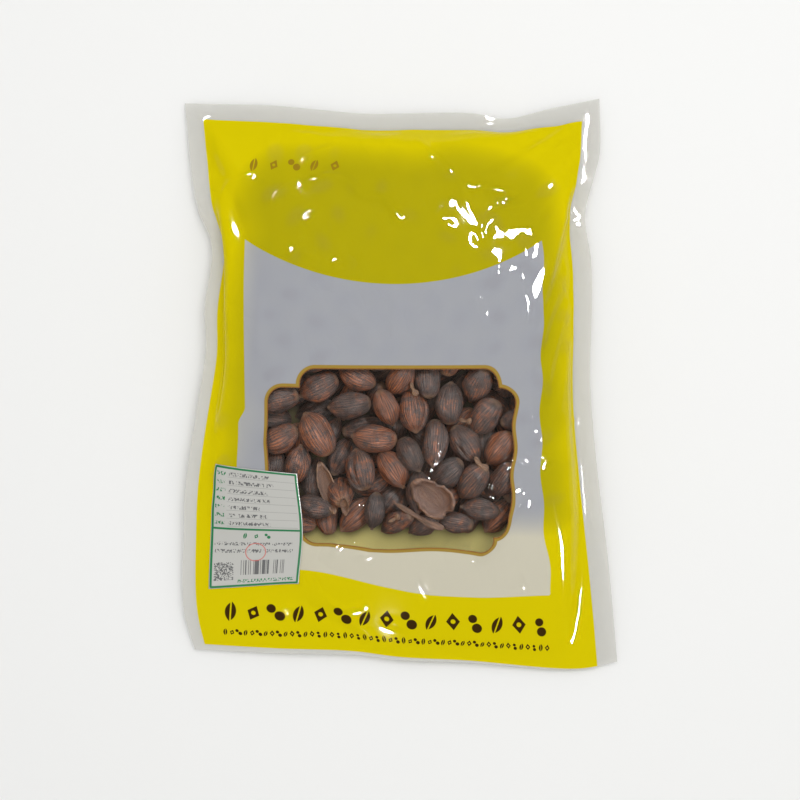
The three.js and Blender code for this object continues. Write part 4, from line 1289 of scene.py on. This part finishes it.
def makePodFinish(options):
    material, g, surface = newMaterial("podSkin")
    tone, crest = g.attribute("tone"), g.attribute("crest")
    made = g.use(dryFibre, {"Rest": g.attribute("rest", "Vector"), "Seed": tone, **options["fibre"]})
    shade = g.plus(tone, g.timesPlus(made["Patches"], *options["patches"]))
    color = g.mix(g.step(shade, *options["greyBrownOver"]), options["dark"], options["greyBrown"])
    color = g.mix(g.step(shade, *options["orangeOver"]), color, options["orange"])
    # painted shade darkens the grooves between the ribs and a painted highlight lightens the crests; the dark
    # fibre lines and pale tips are the pods' own
    groove, lines = g.fade(crest, *options["grooveShadeCrest"]), g.step(made["Fibre"], *options["lineFibre"])
    light = g.times(g.step(made["Fibre"], *options["paleFibre"]), g.step(crest, *options["paleAndHighlightCrest"]))
    color = g.mix(g.times(groove, options["grooveShadeShare"]), color, options["groove"])
    color = g.mix(g.timesPlus(lines, -options["lineShare"], options["lineShare"]), color, options["groove"])
    color = g.mix(g.times(light, options["paleAndHighlightShare"]), color, options["pale"])
    color = g.mix(g.times(made["Ends"], options["endShare"]), color, options["pale"])
    crestRise, patchRise = options["rise"]
    height = g.timesPlus(crest, crestRise, g.timesPlus(made["Patches"], patchRise, made["Fibre"]))
    g.feed(surface, {"Base Color": color, "Roughness": g.blend(lines, *options["roughness"]),
                     "Normal": g.bump(height, *options["bump"])})
    return material


podSkin = makePodFinish(podFinish)


# the pods' shapes, and how they are placed
podShape = {
    "ridgeDepth": 0.085, "dent": 0.12, "lumps": (6, 0.025), "furrows": 4, "furrowDepth": 0.11,
    "stalk": 0.13, "seed": 11, "bend": 0.12, "twist": 0.35, "blunt": (0.60, 0.74, 0.52, 0.66, 0.56),
    # how far the tips stand out, and points round and along a pod with its number of ribs
    "tips": (1.03, 1.02), "fine": (118, 25, 30), "coarse": (44, 18, 13),
}


def closedTube(rings, flip, tips=(1, 1)):
    # points and faces of a tube of rings, each end closed round one point
    count, sectors = rings.shape[:2]
    index = np.arange(count * sectors).reshape(count, sectors)
    index = np.hstack([index, index[:, :1]])
    ends = [ring.mean(0) * (tip, 1, 1) for ring, tip in zip((rings[0], rings[-1]), tips)]
    points = np.vstack([rings.reshape(-1, 3), *ends])
    faces = gridFaces(index, flip).tolist()
    for k in range(sectors):
        first = [len(points) - 2, int(index[0, k]), int(index[0, k + 1])]
        last = [len(points) - 1, int(index[-1, k + 1]), int(index[-1, k])]
        faces += [first, last] if flip else [first[::-1], last[::-1]]
    return points, faces


def podBody(options, kind, sectors, rings, ribs):
    # one pod along X, one unit in half length and radius, with ribs that shrivelled as it dried
    rng = np.random.default_rng(options["seed"] + kind)
    bend, twist = (rng.uniform(-options[name], options[name]) for name in ("bend", "twist"))
    phase = rng.uniform(0, 6.28, 8)
    a = np.linspace(0, np.pi, rings + 1)[1:-1, None]
    x = -np.cos(a)
    turn = np.linspace(0, 2 * np.pi, sectors, endpoint=False)[None] + twist * x
    body = np.sin(a) ** (2 * options["blunt"][kind] / (1 + 0.3 * x))
    wander = 0.8 * np.sin(2 * turn + 2 * x + phase[1]) + 0.5 * np.sin(3 * turn - 3 * x + phase[6])
    rib = np.abs(np.sin(0.5 * (ribs * turn + phase[0] + wander)))
    deep = 0.65 + 0.35 * np.sin(5 * turn + 4 * x + phase[5]) * np.sin(2 * turn + phase[7])
    sag = np.sin(2 * turn + phase[2] + x) * 0.5
    sag = sag + np.sin(3 * turn + phase[3] - 2 * x) * 0.5 * np.cos(2 * x + phase[4])
    shrunk = options["ridgeDepth"] * deep * (1 - rib ** 0.8) + options["dent"] * (0.5 + 0.5 * sag)
    for _ in range(options["furrows"]):
        middle, reach, slant, width = rng.uniform((0, 0.3, -0.5, 0.14), (6.28, 0.9, 0.5, 0.30))
        around = np.angle(np.exp(1j * (turn - middle - slant * x))) / width
        along = (x - rng.uniform(-0.5, 0.5)) / reach
        shrunk = shrunk + options["furrowDepth"] * np.exp(-around ** 2 - along ** 4)
    count, high = options["lumps"]
    for _ in range(count):
        waves, along = rng.integers(1, 5), rng.uniform(2, 6)
        around = np.sin(waves * turn + rng.uniform(0, 6.28))
        shrunk = shrunk + high * around * np.sin(along * x + rng.uniform(0, 6.28))
    r = body * (1 - shrunk)
    r = np.maximum(r / r.max(), options["stalk"] * np.clip((-x - 0.9) / 0.05, 0, 1))
    points = np.stack([x + 0 * turn, r * np.cos(turn) + bend * (1 - x * x) * body, r * np.sin(turn)], -1)
    # crest runs from 0 in the grooves to 1 on the ribs; the pods' colours use it for painted shade and
    # painted highlights
    crest = np.concatenate([(rib ** 1.3 * deep).ravel(), (0.5, 0.5)])
    return (*closedTube(points, True, options["tips"]), crest)


def addShape(kinds, name, points, faces, crest):
    # the shape's own coordinates are kept as "rest", and its ribs as "crest", for its colours
    shape = makeMesh(name, points / mm, faces)
    bpy.context.scene.collection.objects.unlink(shape)
    kinds.objects.link(shape)
    setAttribute(shape.data, "rest", points, "FLOAT_VECTOR")
    setAttribute(shape.data, "crest", crest)


def podKinds(options, name, detail):
    kinds = bpy.data.collections.new(name)
    for kind in range(contents["shapes"]):
        addShape(kinds, name + str(kind), *podBody(options, kind, *options[detail]))
    return kinds


def scatterTree(name):
    # places shapes of a collection on points, each with its own turn and size
    tree = bpy.data.node_groups.new(name, "GeometryNodeTree")
    for socket, kind in (("Geometry", "Geometry"), ("Shapes", "Collection"),
                         ("Finish", "Material"), ("Size", "Float")):
        tree.interface.new_socket(socket, in_out="INPUT", socket_type="NodeSocket" + kind)
    tree.interface.new_socket("Geometry", in_out="OUTPUT", socket_type="NodeSocketGeometry")
    make, link = tree.nodes.new, tree.links.new
    start, end, shapes = make("NodeGroupInput"), make("NodeGroupOutput"), make("GeometryNodeCollectionInfo")
    place, realize = make("GeometryNodeInstanceOnPoints"), make("GeometryNodeRealizeInstances")
    finish, scale = make("GeometryNodeSetMaterial"), make("ShaderNodeVectorMath")
    scale.operation = "SCALE"
    for node, option in ((shapes, "Separate Children"), (shapes, "Reset Children"), (place, "Pick Instance")):
        node.inputs[option].default_value = True
    for attribute, kind, target in (("shape", "INT", place.inputs["Instance Index"]),
                                    ("turn", "FLOAT_VECTOR", place.inputs["Rotation"]),
                                    ("size", "FLOAT_VECTOR", scale.inputs[0])):
        read = make("GeometryNodeInputNamedAttribute")
        read.data_type = kind
        read.inputs["Name"].default_value = attribute
        link(read.outputs["Attribute"], target)
    for source, output, target, socket in (
            (start, "Size", scale, "Scale"), (scale, "Vector", place, "Scale"),
            (start, "Geometry", place, "Points"), (start, "Shapes", shapes, "Collection"),
            (shapes, "Instances", place, "Instance"), (place, "Instances", realize, "Geometry"),
            (realize, "Geometry", finish, "Geometry"), (start, "Finish", finish, "Material"),
            (finish, "Geometry", end, "Geometry")):
        link(source.outputs[output], target.inputs[socket])
    return tree


def scatter(name, tree, kinds, pods, chosen, material, size=1.0):
    cloud = bpy.data.meshes.new(name + "Points")
    cloud.from_pydata((pods["middle"][chosen] * mm).tolist(), [], [])
    turns = []
    for axis, roll in zip(pods["axis"][chosen], pods["roll"][chosen]):
        turn = Vector(axis).to_track_quat("X", "Z").to_matrix().to_4x4() @ Matrix.Rotation(roll, 4, "X")
        turns.append(turn.to_euler()[:])
    sizes = np.stack([pods[key][chosen] for key in ("half", "radius", "height")], -1) * mm
    setAttribute(cloud, "turn", turns, "FLOAT_VECTOR")
    setAttribute(cloud, "size", sizes, "FLOAT_VECTOR")
    setAttribute(cloud, "shape", pods["shape"][chosen], "INT")
    setAttribute(cloud, "tone", pods["tone"][chosen])
    points = bpy.data.objects.new(name + "Points", cloud)
    bpy.context.scene.collection.objects.link(points)
    modifier = points.modifiers.new("scatter", "NODES")
    modifier.node_group = tree
    values = {"Shapes": kinds, "Finish": material, "Size": size}
    for item in tree.interface.items_tree:
        if item.in_out == "INPUT" and item.name in values:
            modifier[item.identifier] = values[item.name]
    bpy.context.view_layer.update()
    made = points.evaluated_get(bpy.context.evaluated_depsgraph_get())
    mesh = bpy.data.meshes.new_from_object(made)
    points.modifiers.clear()
    bpy.data.objects.remove(points)
    mesh.name = name
    piece = bpy.data.objects.new(name, mesh)
    bpy.context.scene.collection.objects.link(piece)
    return piece


tree = scatterTree("scatterPods")
isShown = np.arange(len(pods["half"])) < len(contents["window"])
isUpper = ~isShown & (pods["middle"][:, 2] > contents["upperFrom"])
for name, detail, chosen in (("podsInWindow", "fine", isShown), ("podsUpper", "coarse", isUpper),
                             ("podsLower", "coarse", ~isShown & ~isUpper)):
    kinds = podKinds(podShape, name + "Shape", detail)
    piece = scatter(name, tree, kinds, pods, chosen, podSkin)
    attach(piece, "root")
    if detail == "fine":
        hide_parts("pods")
    print(name, len(piece.data.polygons), "faces")


# broken husks, slices and stalks
brokenShape = {
    "sectors": 44, "rings": 13, "wall": 0.17, "seed": 21, "ribs": (0.035, 13),
    # for an open husk, then for a slice of one
    "rimWave": (0.34, 0.16), "depth": (0.9, 1.2), "narrow": (1, 0.75), "uneven": (0.09, 0),
    "innerCrest": 0.1, "outerCrest": 0.5,
}


def stalkBody(options, turn, phase):
    x = np.linspace(-1, 1, 2 * options["rings"])[:, None]
    r = 0.62 + 0.3 * x + 0.16 * np.sin(6 * x + phase[0])
    r = r + 0.2 * np.sin(4 * turn + 5 * x) * (0.4 + 0.6 * np.abs(x))
    r = r * np.sqrt(np.maximum(1 - x ** 10, 0.04))
    bow, lift = 0.35 * np.sin(2.2 * x + phase[1]), 0.3 * x * x
    return np.stack([x + 0 * turn, r * np.cos(turn) + bow, r * np.sin(turn) + lift], -1)


def huskBody(options, kind, turn, phase):
    # an outer and an inner wall, joined at the lip
    wave, depth, narrow, uneven = (options[key][kind] for key in ("rimWave", "depth", "narrow", "uneven"))
    ribDepth, ribs = options["ribs"]
    lip = np.pi / 2 + wave * (np.sin(3 * turn + phase[0]) + 0.6 * np.sin(7 * turn + phase[1]))
    fall = np.linspace(0.12, 1, options["rings"])[:, None] * lip
    rib = 1 + ribDepth * np.sin(ribs * turn + phase[2] + np.sin(3 * fall))
    uneven = 1 + uneven * (np.sin(2 * turn + phase[3]) + 0.7 * np.sin(3 * turn + phase[4]))
    side, raised = np.cos(turn) ** 2, 0.5 * kind * np.cos(turn) ** 2 * np.sin(fall) ** 2
    shell = lambda size: np.stack([
        np.sin(fall) * np.cos(turn) * size * uneven,
        np.sin(fall) * np.sin(turn) * rib * size * uneven * (1 - (1 - narrow) * side),
        0.5 - depth * np.cos(fall) * size + raised], -1)
    return np.concatenate([shell(1.0), shell(1 - options["wall"])[::-1]])


def brokenBody(options, kind):
    # 0 an open husk, 1 a slice of one, 2 a stalk, each one unit in half length, half width and half height
    phase = np.random.default_rng(options["seed"] + kind).uniform(0, 6.28, 5)
    turn = np.linspace(0, 2 * np.pi, options["sectors"], endpoint=False)[None]
    isStalk = kind == 2
    body = stalkBody(options, turn, phase) if isStalk else huskBody(options, kind, turn, phase)
    points, faces = closedTube(body, isStalk)
    # the inner wall of a husk is marked by a low crest
    isInner = (np.arange(len(points)) >= options["rings"] * options["sectors"]) & (not isStalk)
    return points, faces, np.where(isInner, options["innerCrest"], options["outerCrest"])


def brokenKinds(options):
    kinds = bpy.data.collections.new("brokenShapes")
    for kind in range(3):
        addShape(kinds, "broken" + str(kind), *brokenBody(options, kind))
    return kinds


brokenFinish = {
    "brown": (0.22, 0.080, 0.032), "tan": (0.40, 0.19, 0.075), "dark": (0.05, 0.024, 0.014),
    "pale": (0.56, 0.35, 0.17), "inner": (0.17, 0.062, 0.026),
    "fibre": {"Around": 4.0, "Along": 0.8}, "patches": (0.8, -0.4), "tanOver": (0.3, 1.0),
    # each colour's range, and its share at most
    "darkFibre": ((0.62, 0.38), 0.7), "paleFibre": ((0.56, 0.72), 0.5), "innerCrest": ((0.4, 0.2), 0.6),
    "bump": 0.9, "roughness": 0.7,
}


def makeBrokenFinish(options):
    material, g, surface = newMaterial("brokenHusk")
    tone, crest = g.attribute("tone"), g.attribute("crest")
    made = g.use(dryFibre, {"Rest": g.attribute("rest", "Vector"), "Seed": tone, **options["fibre"]})
    shade = g.step(g.plus(tone, g.timesPlus(made["Patches"], *options["patches"])), *options["tanOver"])
    color = g.mix(shade, options["brown"], options["tan"])
    for name, value, key in (("dark", made["Fibre"], "darkFibre"), ("pale", made["Fibre"], "paleFibre"),
                             ("inner", crest, "innerCrest")):
        part, share = options[key]
        color = g.mix(g.times(g.step(value, *part), share), color, options[name])
    g.feed(surface, {"Base Color": color, "Roughness": options["roughness"],
                     "Normal": g.bump(made["Fibre"], options["bump"])})
    return material


brokenHusk = makeBrokenFinish(brokenFinish)
piece = scatter("brokenPods", tree, brokenKinds(brokenShape), brokenPieces, slice(None), brokenHusk)
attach(piece, "root")
print("brokenPods", len(piece.data.polygons), "faces")
